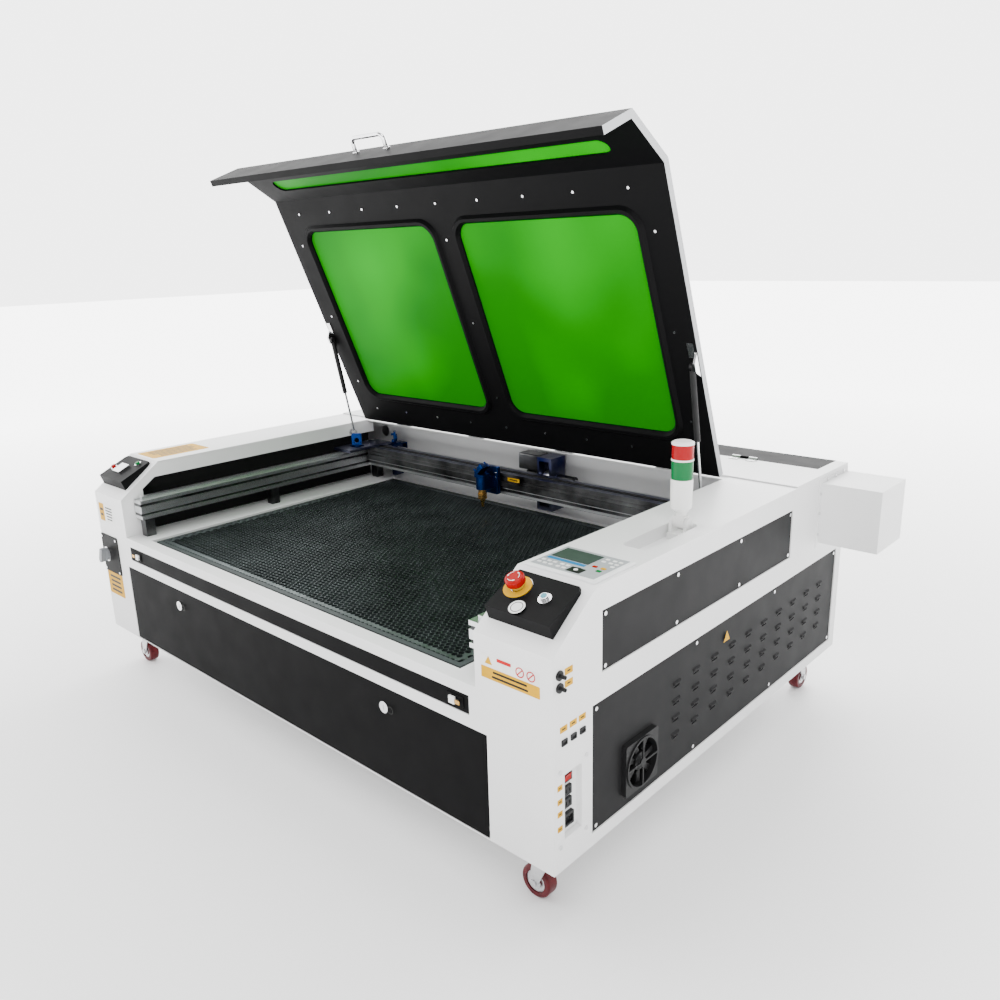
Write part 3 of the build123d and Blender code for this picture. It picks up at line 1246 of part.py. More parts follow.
for name, side, inside in (("left", -1, left_in), ("right", 1, right_in)):
    x = inside - side * strut_offset
    shift = Vector(x, 0, 0)
    low = shift + stud_point
    high = shift + ball_open
    with BuildPart() as rod:
        with BuildSketch(Plane(origin=low + strut_dir * 7, z_dir=strut_dir)):
            Circle(rod_outer)
        extrude(amount=shut_length - 14 - end_gap)
        with BuildSketch(Plane(origin=(x - 5, stud_y, stud_z), z_dir=(1, 0, 0))):
            Circle(8.5)
        extrude(amount=10)
        with BuildSketch(Plane(origin=(x - 5, stud_y, stud_z), z_dir=(1, 0, 0))):
            Circle(stud_radius + 0.06)
        extrude(amount=10, mode=Mode.SUBTRACT)
    save(f"strut_rod_{name}", rod.part)
    with BuildPart() as cylinder:
        start = high - strut_dir * (10 + tube_length)
        with BuildSketch(Plane(origin=start, z_dir=strut_dir)):
            Circle(tube_outer)
        extrude(amount=tube_length)
        with BuildSketch(Plane(origin=start, z_dir=strut_dir)):
            Circle(rod_outer + 0.06)
        extrude(amount=tube_length - 6, mode=Mode.SUBTRACT)
        with BuildSketch(Plane(origin=high + Vector(-5, 0, 0), z_dir=(1, 0, 0))):
            Circle(9)
        extrude(amount=10)
        with BuildSketch(Plane(origin=high - strut_dir * 12, z_dir=strut_dir)):
            Circle(4.2)
        extrude(amount=6)
    save(f"strut_tube_{name}", cylinder.part)

# ================================================================ rear cover
cover_gap = 1.5
cover_wrap = 66.0
cover_axis_z = rear_z + 4.0
cover_axis_y = cover_y0 + cover_gap / 2
cover_half = half - cover_side - cover_gap
cover_hinge_xs = (-680.0, 687.0)
cover_back = back + seam
cover_knuckle = 26.0
with BuildPart() as rear_cover:
    add(slab(-cover_half, cover_half, cover_y0 + cover_gap, cover_back + sheet, rear_in, rear_z))
    add(slab(-cover_half, cover_half, cover_back, cover_back + sheet, rear_z - cover_wrap, rear_in))
    for x in cover_hinge_xs:
        add(slab(x - cover_knuckle / 2, x + cover_knuckle / 2, cover_axis_y, cover_y0 + 24, rear_z, rear_z + 2))
        add(bar(4, (x - cover_knuckle / 2, cover_axis_y, cover_axis_z),
                (x + cover_knuckle / 2, cover_axis_y, cover_axis_z)))
        add(bar(2.05, (x - cover_knuckle / 2, cover_axis_y, cover_axis_z),
                (x + cover_knuckle / 2, cover_axis_y, cover_axis_z)), mode=Mode.SUBTRACT)
save("rear_cover", rear_cover.part)
for x in cover_hinge_xs:
    for side in (-1, 1):
        near = x + side * (cover_knuckle / 2 + seam)
        far = near + side * cover_knuckle
        with BuildPart() as fixed_leaf:
            add(slab(near, far, cover_y0 - 24, cover_axis_y, rear_z, rear_z + 2))
            add(bar(4, (min(near, far), cover_axis_y, cover_axis_z),
                    (max(near, far), cover_axis_y, cover_axis_z)))
        hinge_parts.append(fixed_leaf.part)
    hinge_parts.append(bar(2, (x - cover_knuckle / 2 - seam, cover_axis_y, cover_axis_z),
                           (x + cover_knuckle / 2 + seam, cover_axis_y, cover_axis_z)))
save("fixed_hinges", *hinge_parts)

# ================================================================ front door and flap
door_gap = 2.0
door_x = door_half - sheet - 0.6
door_low = door_z0 + door_gap
door_high = door_z1 - door_gap
lock_z = door_z1 - 49.0
lock_xs = {"left": -door_half + 314.0, "right": door_half - 314.0}
lock_radius = 10.0
with BuildPart() as front_door:
    add(slab(-door_x, door_x, front, front + sheet - seam, door_low, door_high))
    add(slab(-door_x + 12, door_x - 12, front + sheet - seam, front + 16, door_high - 4, door_high - 1))
    for side in (-1, 1):
        add(slab(side * (door_x - 12), side * (door_x - 15), front + sheet - seam, front + 16,
                 door_low + 12, door_high - 1))
    add(slab(-door_x + 67, door_x - 67, front + sheet - seam, front + 12, base_z + 67, base_z + 93))
    for side in (-1, 1):
        add(bar(door_pin + 1, (side * (door_x - 30), *door_pivot), (side * door_x, *door_pivot)))
        add(bar(door_pin, (side * door_x, *door_pivot), (side * door_half, *door_pivot)))
    for x in lock_xs.values():
        add(bar(lock_radius + 0.06, (x, front, lock_z), (x, front + sheet, lock_z)), mode=Mode.SUBTRACT)
save("front_door", front_door.part)

for name, x in lock_xs.items():
    with BuildPart() as lock:
        add(bar(lock_radius, (x, front - 4, lock_z), (x, front + 21, lock_z)))
        add(bar(14, (x, front - 4, lock_z), (x, front - 0.3, lock_z)))
        add(slab(x - 6, x + 60, front + 18, front + 21, lock_z - 7, lock_z + 7))
        add(slab(x - 1, x + 1, front - 4, front - 2, lock_z - 6, lock_z + 6), mode=Mode.SUBTRACT)
    save(f"door_lock_{name}", lock.part)

flap_gap = 1.0
latch_xs = {"left": (flap_left + 46.0, -1), "right": (flap_right - 38.0, 1)}
latch_z = (flap_z0 + flap_z1) / 2
latch_slot = 20.0
with BuildPart() as flap:
    add(slab(flap_left + flap_gap, flap_right - flap_gap, front, front + sheet - seam,
             flap_z0 + 2 * flap_gap, flap_z1 - flap_gap))
    for side, end in ((-1, flap_left), (1, flap_right)):
        add(bar(flap_pin + 1.5, (end - side * 17, *flap_pivot), (end - side * flap_gap, *flap_pivot)))
        add(bar(flap_pin, (end - side * flap_gap, *flap_pivot), (end + side * 5, *flap_pivot)))
    for x, side in latch_xs.values():
        add(slab(x - 24, x + 24, front - 2, front, latch_z - 13, latch_z + 13))
        add(slab(x - latch_slot / 2, x + latch_slot / 2, front - 2, front + sheet, latch_z - 4, latch_z + 4),
            mode=Mode.SUBTRACT)
save("feed_flap", flap.part)
for name, (x, side) in latch_xs.items():
    reach = (flap_right - 2) if side > 0 else (flap_left + 2)
    stem = x - side * 6
    with BuildPart() as latch:
        add(slab(stem - side * 3, reach, front + 4, front + 8, latch_z - 7, latch_z + 7))
        add(slab(stem - 3, stem + 3, front - 2.5, front + 4, latch_z - 3.7, latch_z + 3.7))
        add(slab(stem - 8, stem + 8, front - 7, front - 2.5, latch_z - 8, latch_z + 8))
    save(f"flap_latch_{name}", latch.part)

# ================================================================ casters
caster_inset = 78.0
wheel_radius, wheel_width = 37.5, 30.0
caster_plate_thick = 4.0
swivel_height = 18.0
trail = 26.0
axle_radius = 5.0
fork_gap = 2.0
kingpin = 6.0
caster_places = {
    "front_left": (-half + caster_inset, front + caster_inset, 180.0),
    "front_right": (half - caster_inset, front + caster_inset, 180.0),
    "rear_left": (-half + caster_inset, back - caster_inset, 90.0),
    "rear_right": (half - caster_inset, back - caster_inset, 90.0),
}
plate_z = base_z - caster_plate_thick
swivel_z = plate_z - swivel_height
plates = []
for x, y, turn in caster_places.values():
    with BuildPart() as plate:
        with Locations((x, y, base_z - caster_plate_thick / 2)):
            Box(95, 95, caster_plate_thick)
        fillet(plate.edges().filter_by(Axis.Z), 8)
    plates.append(plate.part)
    plates.append(ring(27, kingpin + 0.06, (x, y, swivel_z + 3), (x, y, plate_z)))
    for dx in (-36, 36):
        for dy in (-36, 36):
            plates.append(bar(6, (x + dx, y + dy, plate_z), (x + dx, y + dy, plate_z - 6)))
save("caster_plates", *plates)

for name, (x, y, turn) in caster_places.items():
    heading = math.radians(turn)
    ahead = Vector(math.cos(heading), math.sin(heading), 0)
    across = Vector(-math.sin(heading), math.cos(heading), 0)
    pivot = Vector(x, y, 0)
    axle = pivot + ahead * trail + Vector(0, 0, wheel_radius)
    leg_in = wheel_width / 2 + fork_gap
    with BuildPart() as fork:
        with BuildSketch(Plane(origin=pivot + Vector(0, 0, swivel_z + 2.5), z_dir=(0, 0, -1))):
            Circle(30)
        extrude(amount=5)
        add(bar(kingpin, (x, y, swivel_z), (x, y, plate_z - seam)))
        head_level = swivel_z - 2.5
        with BuildSketch(Plane(origin=pivot + Vector(0, 0, head_level) - across * (leg_in + 3),
                               x_dir=ahead, z_dir=across)):
            with BuildLine():
                Polyline((-22, 0), (26, 0), (26, 5), (-22, 5), close=True)
            make_face()
        extrude(amount=2 * (leg_in + 3))
        drop = head_level - wheel_radius
        for start in (-leg_in - 3, leg_in):
            with BuildSketch(Plane(origin=pivot + across * start + Vector(0, 0, head_level),
                                   x_dir=ahead, z_dir=across)):
                with BuildLine():
                    Polyline((-22, 0), (26, 0), (trail + 11, drop), (trail, drop + 11),
                             (trail - 11, drop), close=True)
                make_face()
            extrude(amount=3)
        add(bar(axle_radius, axle - across * (leg_in + 3), axle + across * (leg_in + 3)))
        add(bar(8, axle - across * (leg_in + 6), axle - across * (leg_in + 3)))
        add(bar(8, axle + across * (leg_in + 3), axle + across * (leg_in + 6)))
        with BuildSketch(Plane(origin=pivot + ahead * 26 + Vector(0, 0, head_level) - across * 14,
                               x_dir=ahead, z_dir=across)):
            with BuildLine():
                Polyline((-8, 0), (0, 0), (42, 14), (42, 20), (-8, 5), close=True)
            make_face()
        extrude(amount=28)
    save(f"caster_fork_{name}", fork.part)
    with BuildPart() as wheel:
        with BuildSketch(Plane(origin=axle - across * (wheel_width / 2), z_dir=across)):
            Circle(wheel_radius)
            Circle(axle_radius + 0.08, mode=Mode.SUBTRACT)
        extrude(amount=wheel_width)
        fillet(wheel.edges().filter_by(GeomType.CIRCLE).group_by(SortBy.RADIUS)[-1], 5)
        for side in (-1, 1):
            with BuildSketch(Plane(origin=axle + across * (side * wheel_width / 2), z_dir=across * side)):
                Circle(25)
                Circle(15, mode=Mode.SUBTRACT)
            extrude(amount=-4, mode=Mode.SUBTRACT)
    save(f"caster_wheel_{name}", wheel.part)

# ================================================================ screws
screws = []


def side_screws(x, points, direction):
    """Pan-head screws on a side wall."""
    for y, z in points:
        screws.append(bar(4.5, (x, y, z), (x + direction * 2.2, y, z)))


for side in (-1, 1):
    panel_face = side * (half - sheet)
    side_screws(panel_face, [(y, z) for y in (panel_front + 14, -150, 240, panel_back - 14)
                             for z in (panel_z0 + 12, panel_z1 - 12)], side)
    side_screws(panel_face, [(y, z) for y in (tower_panel_y0 + 12, -240, 40, tower_panel_y1 - 12)
                             for z in (tower_panel_z0 + 10, tower_panel_z1 - 10)], side)
side_screws(half, [(tray_y0 - 12, tray_z1 + 10), (tray_y1 + 12, tray_z1 + 10),
                   (tray_y0 - 12, tray_z0 - 10), (tray_y1 + 12, tray_z0 - 10)], 1)
side_screws(half + box_wall, [(box_y0 - 8, box_z0 + up) for up in (26, 86, 141)], 1)
side_screws(half + box_wall, [(box_y0 + along, box_z1 + 6) for along in (32, 87, 142)], 1)
for x, z in ((isolator_x0 + 9, isolator_z1 - 9), (isolator_x1 - 9, isolator_z1 - 9),
             (isolator_x0 + 9, isolator_z0 + 9), (isolator_x1 - 9, isolator_z0 + 9)):
    screws.append(bar(4, (x, front - isolator_thick, z), (x, front - isolator_thick - 2.2, z)))
save("panel_screws", *screws)
print(len(saved), "nodes")
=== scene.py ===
"""Looks for a large laser engraver with an open lid: finishes, fine pieces and a studio stage."""
import json
import math

import bpy
import numpy as np
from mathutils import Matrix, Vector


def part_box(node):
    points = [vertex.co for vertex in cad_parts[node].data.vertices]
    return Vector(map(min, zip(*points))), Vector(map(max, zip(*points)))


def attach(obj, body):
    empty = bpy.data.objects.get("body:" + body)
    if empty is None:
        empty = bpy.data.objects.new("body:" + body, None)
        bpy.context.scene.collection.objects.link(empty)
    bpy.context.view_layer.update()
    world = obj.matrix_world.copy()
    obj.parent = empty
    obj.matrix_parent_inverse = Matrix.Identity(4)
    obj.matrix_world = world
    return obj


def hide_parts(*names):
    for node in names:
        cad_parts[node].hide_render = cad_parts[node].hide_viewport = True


bl_info = {
    "name": "Laser engraver looks",
    "version": (1, 0, 0),
    "blender": (4, 5, 0),
    "location": "View3D > Sidebar > Engraver",
    "description": "Finishes, fine pieces and a studio stage for a laser engraver",
    "category": "Object",
}

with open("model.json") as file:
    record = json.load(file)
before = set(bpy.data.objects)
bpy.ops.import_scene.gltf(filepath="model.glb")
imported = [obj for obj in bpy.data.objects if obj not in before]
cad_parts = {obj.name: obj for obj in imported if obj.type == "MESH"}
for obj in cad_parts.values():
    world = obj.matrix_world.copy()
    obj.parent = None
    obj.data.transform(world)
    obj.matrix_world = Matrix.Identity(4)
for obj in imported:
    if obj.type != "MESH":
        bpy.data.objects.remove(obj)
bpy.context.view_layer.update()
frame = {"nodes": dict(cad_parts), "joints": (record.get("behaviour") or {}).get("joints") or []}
NODES = frame["nodes"]
JOINTS = {joint["name"]: joint for joint in frame["joints"]}
X, Y, Z = np.eye(3)
MM = 0.001


# ---------------------------------------------------------------- places taken from the frame
def corners(node):
    """Lowest and highest corner of a CAD node, as arrays."""
    low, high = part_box(node)
    return np.array(low), np.array(high)


def joint_place(name):
    """A joint's point and unit axis."""
    joint = JOINTS[name]
    axis = np.array(joint["axis"], float)
    return np.array(joint.get("pos_m", (0, 0, 0)), float), axis / np.linalg.norm(axis)


BASE_LOW, BASE_HIGH = corners("base_shell")
HALF = BASE_HIGH[0]
FRONT = BASE_LOW[1]
TOWER_TOP = corners("left_tower")[1][2]
BED_LOW, BED_HIGH = corners("honeycomb")


# ---------------------------------------------------------------- surfaces
def rounded_outline(width, height, radius, steps=5):
    """Counter-clockwise rounded rectangle: four corner centres plus a circle's quarter round each."""
    radius = min(radius, width / 2 - 1e-6, height / 2 - 1e-6)
    quarter = np.linspace(0, math.pi / 2, steps)
    signs = np.array(((1, 1), (-1, 1), (-1, -1), (1, -1)))
    turn = np.arange(4)[:, None] * math.pi / 2 + quarter
    centre = signs * (width / 2 - radius, height / 2 - radius)
    x = centre[:, :1] + radius * np.cos(turn)
    y = centre[:, 1:] + radius * np.sin(turn)
    return np.stack((x.ravel(), y.ravel()), 1)


def circle_outline(radius, steps=32):
    """Counter-clockwise circle: radius times cosine and sine of evenly spaced angles."""
    turn = np.arange(steps) * 2 * math.pi / steps
    return radius * np.stack((np.cos(turn), np.sin(turn)), 1)


def inset(outline, distance):
    """Each point moves inwards along the mean of its two edges' normals, by distance over the cosine of half
    the turn there."""
    ahead = np.roll(outline, -1, 0) - outline
    ahead /= np.linalg.norm(ahead, axis=1)[:, None] + 1e-12
    normal = np.stack((-ahead[:, 1], ahead[:, 0]), 1)
    mean = normal + np.roll(normal, 1, 0)
    mean /= (np.sum(mean * mean, 1) / 2)[:, None]
    return outline + mean * distance


def ring_faces(rings, count, wrap=False):
    """Quads between successive rings of equal count; wrap joins the last ring to the first."""
    first = np.arange(rings if wrap else rings - 1)[:, None] * count
    second = (first + count) % (rings * count)
    k = np.arange(count)[None, :]
    nxt = (k + 1) % count
    quads = np.stack((first + k, first + nxt, second + nxt, second + k), -1).reshape(-1, 4)
    return quads.tolist()


def plate(outline, thickness, bevel=0.0):
    """A closed plate: the outline at three levels, the topmost one inset by the bevel, with flat caps."""
    n = len(outline)
    levels = [(outline, 0.0), (outline, thickness - bevel)]
    if bevel:
        levels.append((inset(outline, bevel), thickness))
    points = np.concatenate([np.column_stack((o, np.full(n, z))) for o, z in levels])
    faces = ring_faces(len(levels), n)
    faces.append(list(range(n))[::-1])
    faces.append(list(range((len(levels) - 1) * n, len(levels) * n)))
    return points, faces


def ring_plate(outer, inner, thickness, bevel=0.0):
    """A closed plate with a hole: four loops joined round, outer low, outer top, inner top, inner low."""
    n = len(outer)
    loops = [(outer, 0.0), (outer, thickness - bevel), (inset(outer, bevel), thickness),
             (inset(inner, -bevel), thickness), (inner, thickness - bevel), (inner, 0.0)]
    points = np.concatenate([np.column_stack((o, np.full(n, z))) for o, z in loops])
    return points, ring_faces(len(loops), n, wrap=True)


def lathe(profile, steps=40, closed=False):
    """Surface of revolution about local z: each (radius, height) is carried round a full circle. A closed
    profile joins its last point to its first; an open one gets flat caps."""
    profile = np.array(profile, float)
    turn = np.arange(steps) * 2 * math.pi / steps
    wide = np.maximum(profile[:, 0], 0.0)
    x = wide[:, None] * np.cos(turn)
    y = wide[:, None] * np.sin(turn)
    z = np.repeat(profile[:, 1:], steps, 1)
    points = np.stack((x, y, z), -1).reshape(-1, 3)
    rings = len(profile)
    faces = ring_faces(rings, steps, wrap=closed)
    if closed:
        return points, faces
    if profile[0, 0] > 0:
        faces.append(list(range(steps))[::-1])
    if profile[-1, 0] > 0:
        faces.append(list(range((rings - 1) * steps, rings * steps)))
    return points, faces


def placed(shape, origin, right=X, up=Y):
    """The shape with its local x along right, y along up and z along their cross product."""
    points, faces = shape
    right, up = np.array(right, float), np.array(up, float)
    axes = np.stack((right, up, np.cross(right, up)))
    return np.array(origin, float) + points @ axes, faces


def joined(shapes):
    """Several shapes as one: their points stacked and their face numbers shifted."""
    points, faces, start = [], [], 0
    for shape_points, shape_faces in shapes:
        points.append(shape_points)
        faces += [[v + start for v in face] for face in shape_faces]
        start += len(shape_points)
    return np.concatenate(points), faces


def piece(name, shape, material, body, smooth=False):
    """A mesh object of the shape, with its finish, riding on a body."""
    points, faces = shape
    mesh = bpy.data.meshes.new(name)
    mesh.from_pydata(points.tolist(), [], faces)
    mesh.validate()
    if smooth:
        mesh.polygons.foreach_set("use_smooth", np.ones(len(mesh.polygons), bool))
        mesh.set_sharp_from_angle(angle=math.radians(35))
    mesh.update()
    thing = bpy.data.objects.new(name, mesh)
    bpy.context.scene.collection.objects.link(thing)
    thing.data.materials.append(material)
    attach(thing, body)
    return thing


# ---------------------------------------------------------------- finishes
def finish(name, colour, roughness, metallic=0.0, **sockets):
    """A Principled material with its constant values on the shader's own sockets."""
    made = bpy.data.materials.new(name)
    made.use_nodes = True
    shader = made.node_tree.nodes["Principled BSDF"]
    shader.inputs["Base Color"].default_value = (*colour, 1)
    shader.inputs["Roughness"].default_value = roughness
    shader.inputs["Metallic"].default_value = metallic
    for socket, value in sockets.items():
        shader.inputs[socket.replace("_", " ")].default_value = value
    return made


def noise(made, scale, detail=4.0, stretch=(1, 1, 1)):
    """Noise on the piece's own coordinates, stretched along its axes."""
    tree = made.node_tree
    place = tree.nodes.new("ShaderNodeTexCoord")
    mapping = tree.nodes.new("ShaderNodeMapping")
    mapping.inputs["Scale"].default_value = stretch
    texture = tree.nodes.new("ShaderNodeTexNoise")
    texture.inputs["Scale"].default_value = scale
    texture.inputs["Detail"].default_value = detail
    tree.links.new(place.outputs["Object"], mapping.inputs["Vector"])
    tree.links.new(mapping.outputs["Vector"], texture.inputs["Vector"])
    return texture.outputs["Fac"]


def ranged(made, value, low, high, start=0.3, end=0.7):
    """The value's start to end spread over low to high."""
    node = made.node_tree.nodes.new("ShaderNodeMapRange")
    node.inputs["From Min"].default_value = start
    node.inputs["From Max"].default_value = end
    node.inputs["To Min"].default_value = low
    node.inputs["To Max"].default_value = high
    made.node_tree.links.new(value, node.inputs["Value"])
    return node.outputs["Result"]


def blended(made, amount, first, second):
    """Two colours mixed by an amount from nought to one. Each may be a colour or an output."""
    tree = made.node_tree
    node = tree.nodes.new("ShaderNodeMix")
    node.data_type = "RGBA"
    for socket, colour in (("A", first), ("B", second)):
        target = [i for i in node.inputs if i.name == socket and i.type == "RGBA"][0]
        if isinstance(colour, tuple):
            target.default_value = (*colour, 1)
        else:
            tree.links.new(colour, target)
    factor = [i for i in node.inputs if i.name == "Factor" and i.type == "VALUE"][0]
    tree.links.new(amount, factor)
    return [o for o in node.outputs if o.type == "RGBA"][0]


def send(made, output, socket):
    """Links an output to a socket of the material's shader."""
    shader = made.node_tree.nodes["Principled BSDF"]
    made.node_tree.links.new(output, shader.inputs[socket])


def bumped(made, height, strength, distance):
    """Height as a bump on the shader's normal."""
    node = made.node_tree.nodes.new("ShaderNodeBump")
    node.inputs["Strength"].default_value = strength
    node.inputs["Distance"].default_value = distance
    made.node_tree.links.new(height, node.inputs["Height"])
    send(made, node.outputs["Normal"], "Normal")


def powder_coat(name, colour, roughness, grain=900.0, depth=0.0002, shade=0.93, shine=0.4):
    """Powder-coated sheet: fine orange peel, faint cloudy tone and uneven gloss."""
    made = finish(name, colour, roughness, Specular_IOR_Level=shine)
    cloud = noise(made, 3.0, 5.0)
    darker = tuple(c * shade for c in colour)
    send(made, blended(made, ranged(made, cloud, 0, 1), darker, colour), "Base Color")
    send(made, ranged(made, noise(made, 14.0, 6.0), roughness - 0.03, roughness + 0.04), "Roughness")
    bumped(made, noise(made, grain, 2.0), 0.25, depth)
    return made


def moulded(name, colour, roughness, grain=1400.0):
    """Moulded plastic: spark-eroded grain and slight tone changes."""
    made = finish(name, colour, roughness, Specular_IOR_Level=0.22)
    cloud = noise(made, 25.0, 3.0)
    lighter = tuple(min(1.0, c * 1.12 + 0.004) for c in colour)
    send(made, blended(made, ranged(made, cloud, 0, 1), colour, lighter), "Base Color")
    send(made, ranged(made, noise(made, 60.0, 3.0), roughness - 0.04, roughness + 0.06), "Roughness")
    bumped(made, noise(made, grain, 2.0), 0.2, 0.00015)
    return made


def metal(name, colour, roughness, stretch=(1, 1, 1), scale=300.0, tarnish=0.85, **sockets):
    """Bare or plated metal with fine lines along the stretched axis and a cloudy tarnish."""
    made = finish(name, colour, roughness, 1.0, **sockets)
    duller = tuple(c * tarnish for c in colour)
    send(made, blended(made, ranged(made, noise(made, 9.0, 6.0), 0, 1), duller, colour), "Base Color")
    lines = noise(made, scale, 3.0, stretch)
    send(made, ranged(made, lines, roughness - 0.06, roughness + 0.1), "Roughness")
    bumped(made, lines, 0.12, 0.0001)
    return made


def shiny(name, colour, roughness=0.12, **sockets):
    """Glossy plastic or glass-hard paint with faint surface waves."""
    made = finish(name, colour, roughness, Specular_IOR_Level=0.12, **sockets)
    deeper = tuple(c * 0.88 for c in colour)
    send(made, blended(made, ranged(made, noise(made, 40.0, 2.0), 0, 1), deeper, colour), "Base Color")
    bumped(made, noise(made, 120.0, 1.0), 0.08, 0.0002)
    return made


def axis_value(made, axis):
    """One of the piece's own coordinates, in metres."""
    place = made.node_tree.nodes.new("ShaderNodeTexCoord")
    split = made.node_tree.nodes.new("ShaderNodeSeparateXYZ")
    made.node_tree.links.new(place.outputs["Object"], split.inputs["Vector"])
    return split.outputs[axis]


def banded(made, value, bands):
    """A stepped colour ramp: each (start, colour) holds until the next start."""
    low, high = bands[0][0], bands[-1][0] + 0.02
    node = made.node_tree.nodes.new("ShaderNodeValToRGB")
    node.color_ramp.interpolation = "CONSTANT"
    steps = node.color_ramp.elements
    steps[0].position, steps[0].color = 0.0, (*bands[0][1], 1)
    steps[1].position, steps[1].color = (bands[1][0] - low) / (high - low), (*bands[1][1], 1)
    for start, colour in bands[2:]:
        step = steps.new((start - low) / (high - low))
        step.color = (*colour, 1)
    made.node_tree.links.new(ranged(made, value, 0, 1, low, high), node.inputs["Fac"])
    return node.outputs["Color"]


def green_acrylic():
    """Laser-proof green acrylic: dyed through, with a painted glow, an emission that stands in for daylight
    from behind coming through it.
    """
    # Emission_Strength sets the strength of the painted glow.
    made = finish("green_acrylic", (0.0, 0.3, 0.0), 0.42, IOR=1.49,
                  Specular_IOR_Level=0.04, Emission_Strength=0.25)
    cloud = ranged(made, noise(made, 1.7, 2.0), 0, 1, 0.42, 0.68)
    send(made, blended(made, cloud, (0.0, 0.12, 0.0), (0.0, 0.22, 0.0)), "Base Color")
    # Painted glow: the emission colour is patchy with the same noise as the tone, and stands in for daylight
    # shining through the sheet.
    send(made, blended(made, cloud, (0.0, 0.3, 0.0), (0.004, 0.85, 0.0)), "Emission Color")
    bumped(made, noise(made, 5.0, 1.0), 0.05, 0.002)
    return made


def lamp_stack():
    """Signal lamp: grey-white housing, green lens, pale collar, red lens and pale cap, by height."""
    made = shiny("lamp_stack", (0.82, 0.82, 0.8), 0.18)
    low = joint_place("signal_tilt")[0][2]
    white, green, red = (0.82, 0.82, 0.8), (0.0, 0.13, 0.035), (0.3, 0.0, 0.003)
    bands = [(low - 0.05, white), (low + 0.101, green), (low + 0.143, white), (low + 0.147, red),
             (low + 0.179, white)]
    send(made, banded(made, axis_value(made, "Z"), bands), "Base Color")
    return made


def lid_coat():
    """The lid's satin black coat, with bare pale metal showing at its two end edges."""
    made = powder_coat("lid_coat", (0.003, 0.003, 0.0033), 0.5, 700.0, shine=0.05)
    shader = made.node_tree.nodes["Principled BSDF"]
    coat = shader.inputs["Base Color"].links[0].from_socket
    low, high = corners("lid_frame")
    middle, half_wide = (low[0] + high[0]) / 2, (high[0] - low[0]) / 2
    shift = made.node_tree.nodes.new("ShaderNodeMath")
    shift.operation = "SUBTRACT"
    shift.inputs[1].default_value = middle
    made.node_tree.links.new(axis_value(made, "X"), shift.inputs[0])
    size = made.node_tree.nodes.new("ShaderNodeMath")
    size.operation = "ABSOLUTE"
    made.node_tree.links.new(shift.outputs[0], size.inputs[0])
    edge = ranged(made, size.outputs[0], 0, 1, half_wide - 0.0012, half_wide - 0.0006)
    send(made, blended(made, edge, coat, (0.5, 0.51, 0.52)), "Base Color")
    return made


def wheel_tread():
    """Dark red polyurethane tread with fine scuffs."""
    made = finish("wheel_tread", (0.1, 0.004, 0.008), 0.38, Specular_IOR_Level=0.25)
    scuff = ranged(made, noise(made, 90.0, 6.0), 0, 1, 0.35, 0.75)
    send(made, blended(made, scuff, (0.07, 0.003, 0.006), (0.13, 0.006, 0.01)), "Base Color")
    send(made, ranged(made, noise(made, 150.0, 4.0), 0.3, 0.5), "Roughness")
    bumped(made, noise(made, 500.0, 3.0), 0.3, 0.0003)
    return made


def level_metal(name, axis, bands, roughness=0.34):
    """Satin metal whose colour changes in steps along one axis: anodised and bare parts, and grooves painted
    black as shade.
    """
    made = metal(name, (0.7, 0.71, 0.72), roughness, (1, 40, 40) if axis == "Z" else (40, 1, 40))
    bare = made.node_tree.nodes["Principled BSDF"].inputs["Base Color"].links[0].from_socket
    stripes = banded(made, axis_value(made, axis), bands)
    send(made, blended(made, ranged(made, noise(made, 9.0, 6.0), 0, 0.25), stripes, bare), "Base Color")
    return made


def beam_coat():
    """Black anodised beam: bare lines at its lower front, blue-black plates on top of it."""
    low = corners("gantry_beam")[0][2]
    dark, bare, navy = (0.003, 0.003, 0.0035), (0.62, 0.63, 0.64), (0.008, 0.012, 0.07)
    bands = [(low - 0.01, dark), (low + 0.0005, bare), (low + 0.009, dark), (low + 0.0185, bare),
             (low + 0.021, dark), (low + 0.0695, navy)]
    return level_metal("beam_coat", "Z", bands)


def rail_coat():
    """Bright rails with grooves painted black as shade in the slots, on legs painted dark, partly as shade
    under the rail head and partly as the black region below.
    """
    high = corners("y_rails")[1][2]
    dark, bare = (0.012, 0.012, 0.013), (0.72, 0.73, 0.74)
    # Painted shade: the black bands are the grooves' shade, and the dark first band covers the legs, partly
    # shade under the rail head and partly the black region below.
    bands = [(high - 0.2, dark), (high - 0.07, bare), (high - 0.059, dark), (high - 0.051, bare),
             (high - 0.029, dark), (high - 0.021, bare)]
    return level_metal("rail_coat", "Z", bands, 0.3)


def drive_coat(name):
    """Drive parts: black motor body beside blue-black plates, or black couplings on a bright shaft."""
    low, high = corners("drive_motor")
    dark, navy, bare = (0.008, 0.008, 0.009), (0.012, 0.018, 0.09), (0.62, 0.63, 0.64)
    start = 0.05
    if name == "drive_motor":
        bands = [(low[0] - 0.01, navy), (start - 0.09, dark), (start - 0.0002, navy), (start + 0.2, navy)]
    else:
        bands = [(low[0] - 0.1, bare), (start - 0.066, dark), (start - 0.004, bare), (start + 0.069, dark),
                 (start + 0.131, bare)]
    return level_metal(f"{name}_coat", "X", bands)


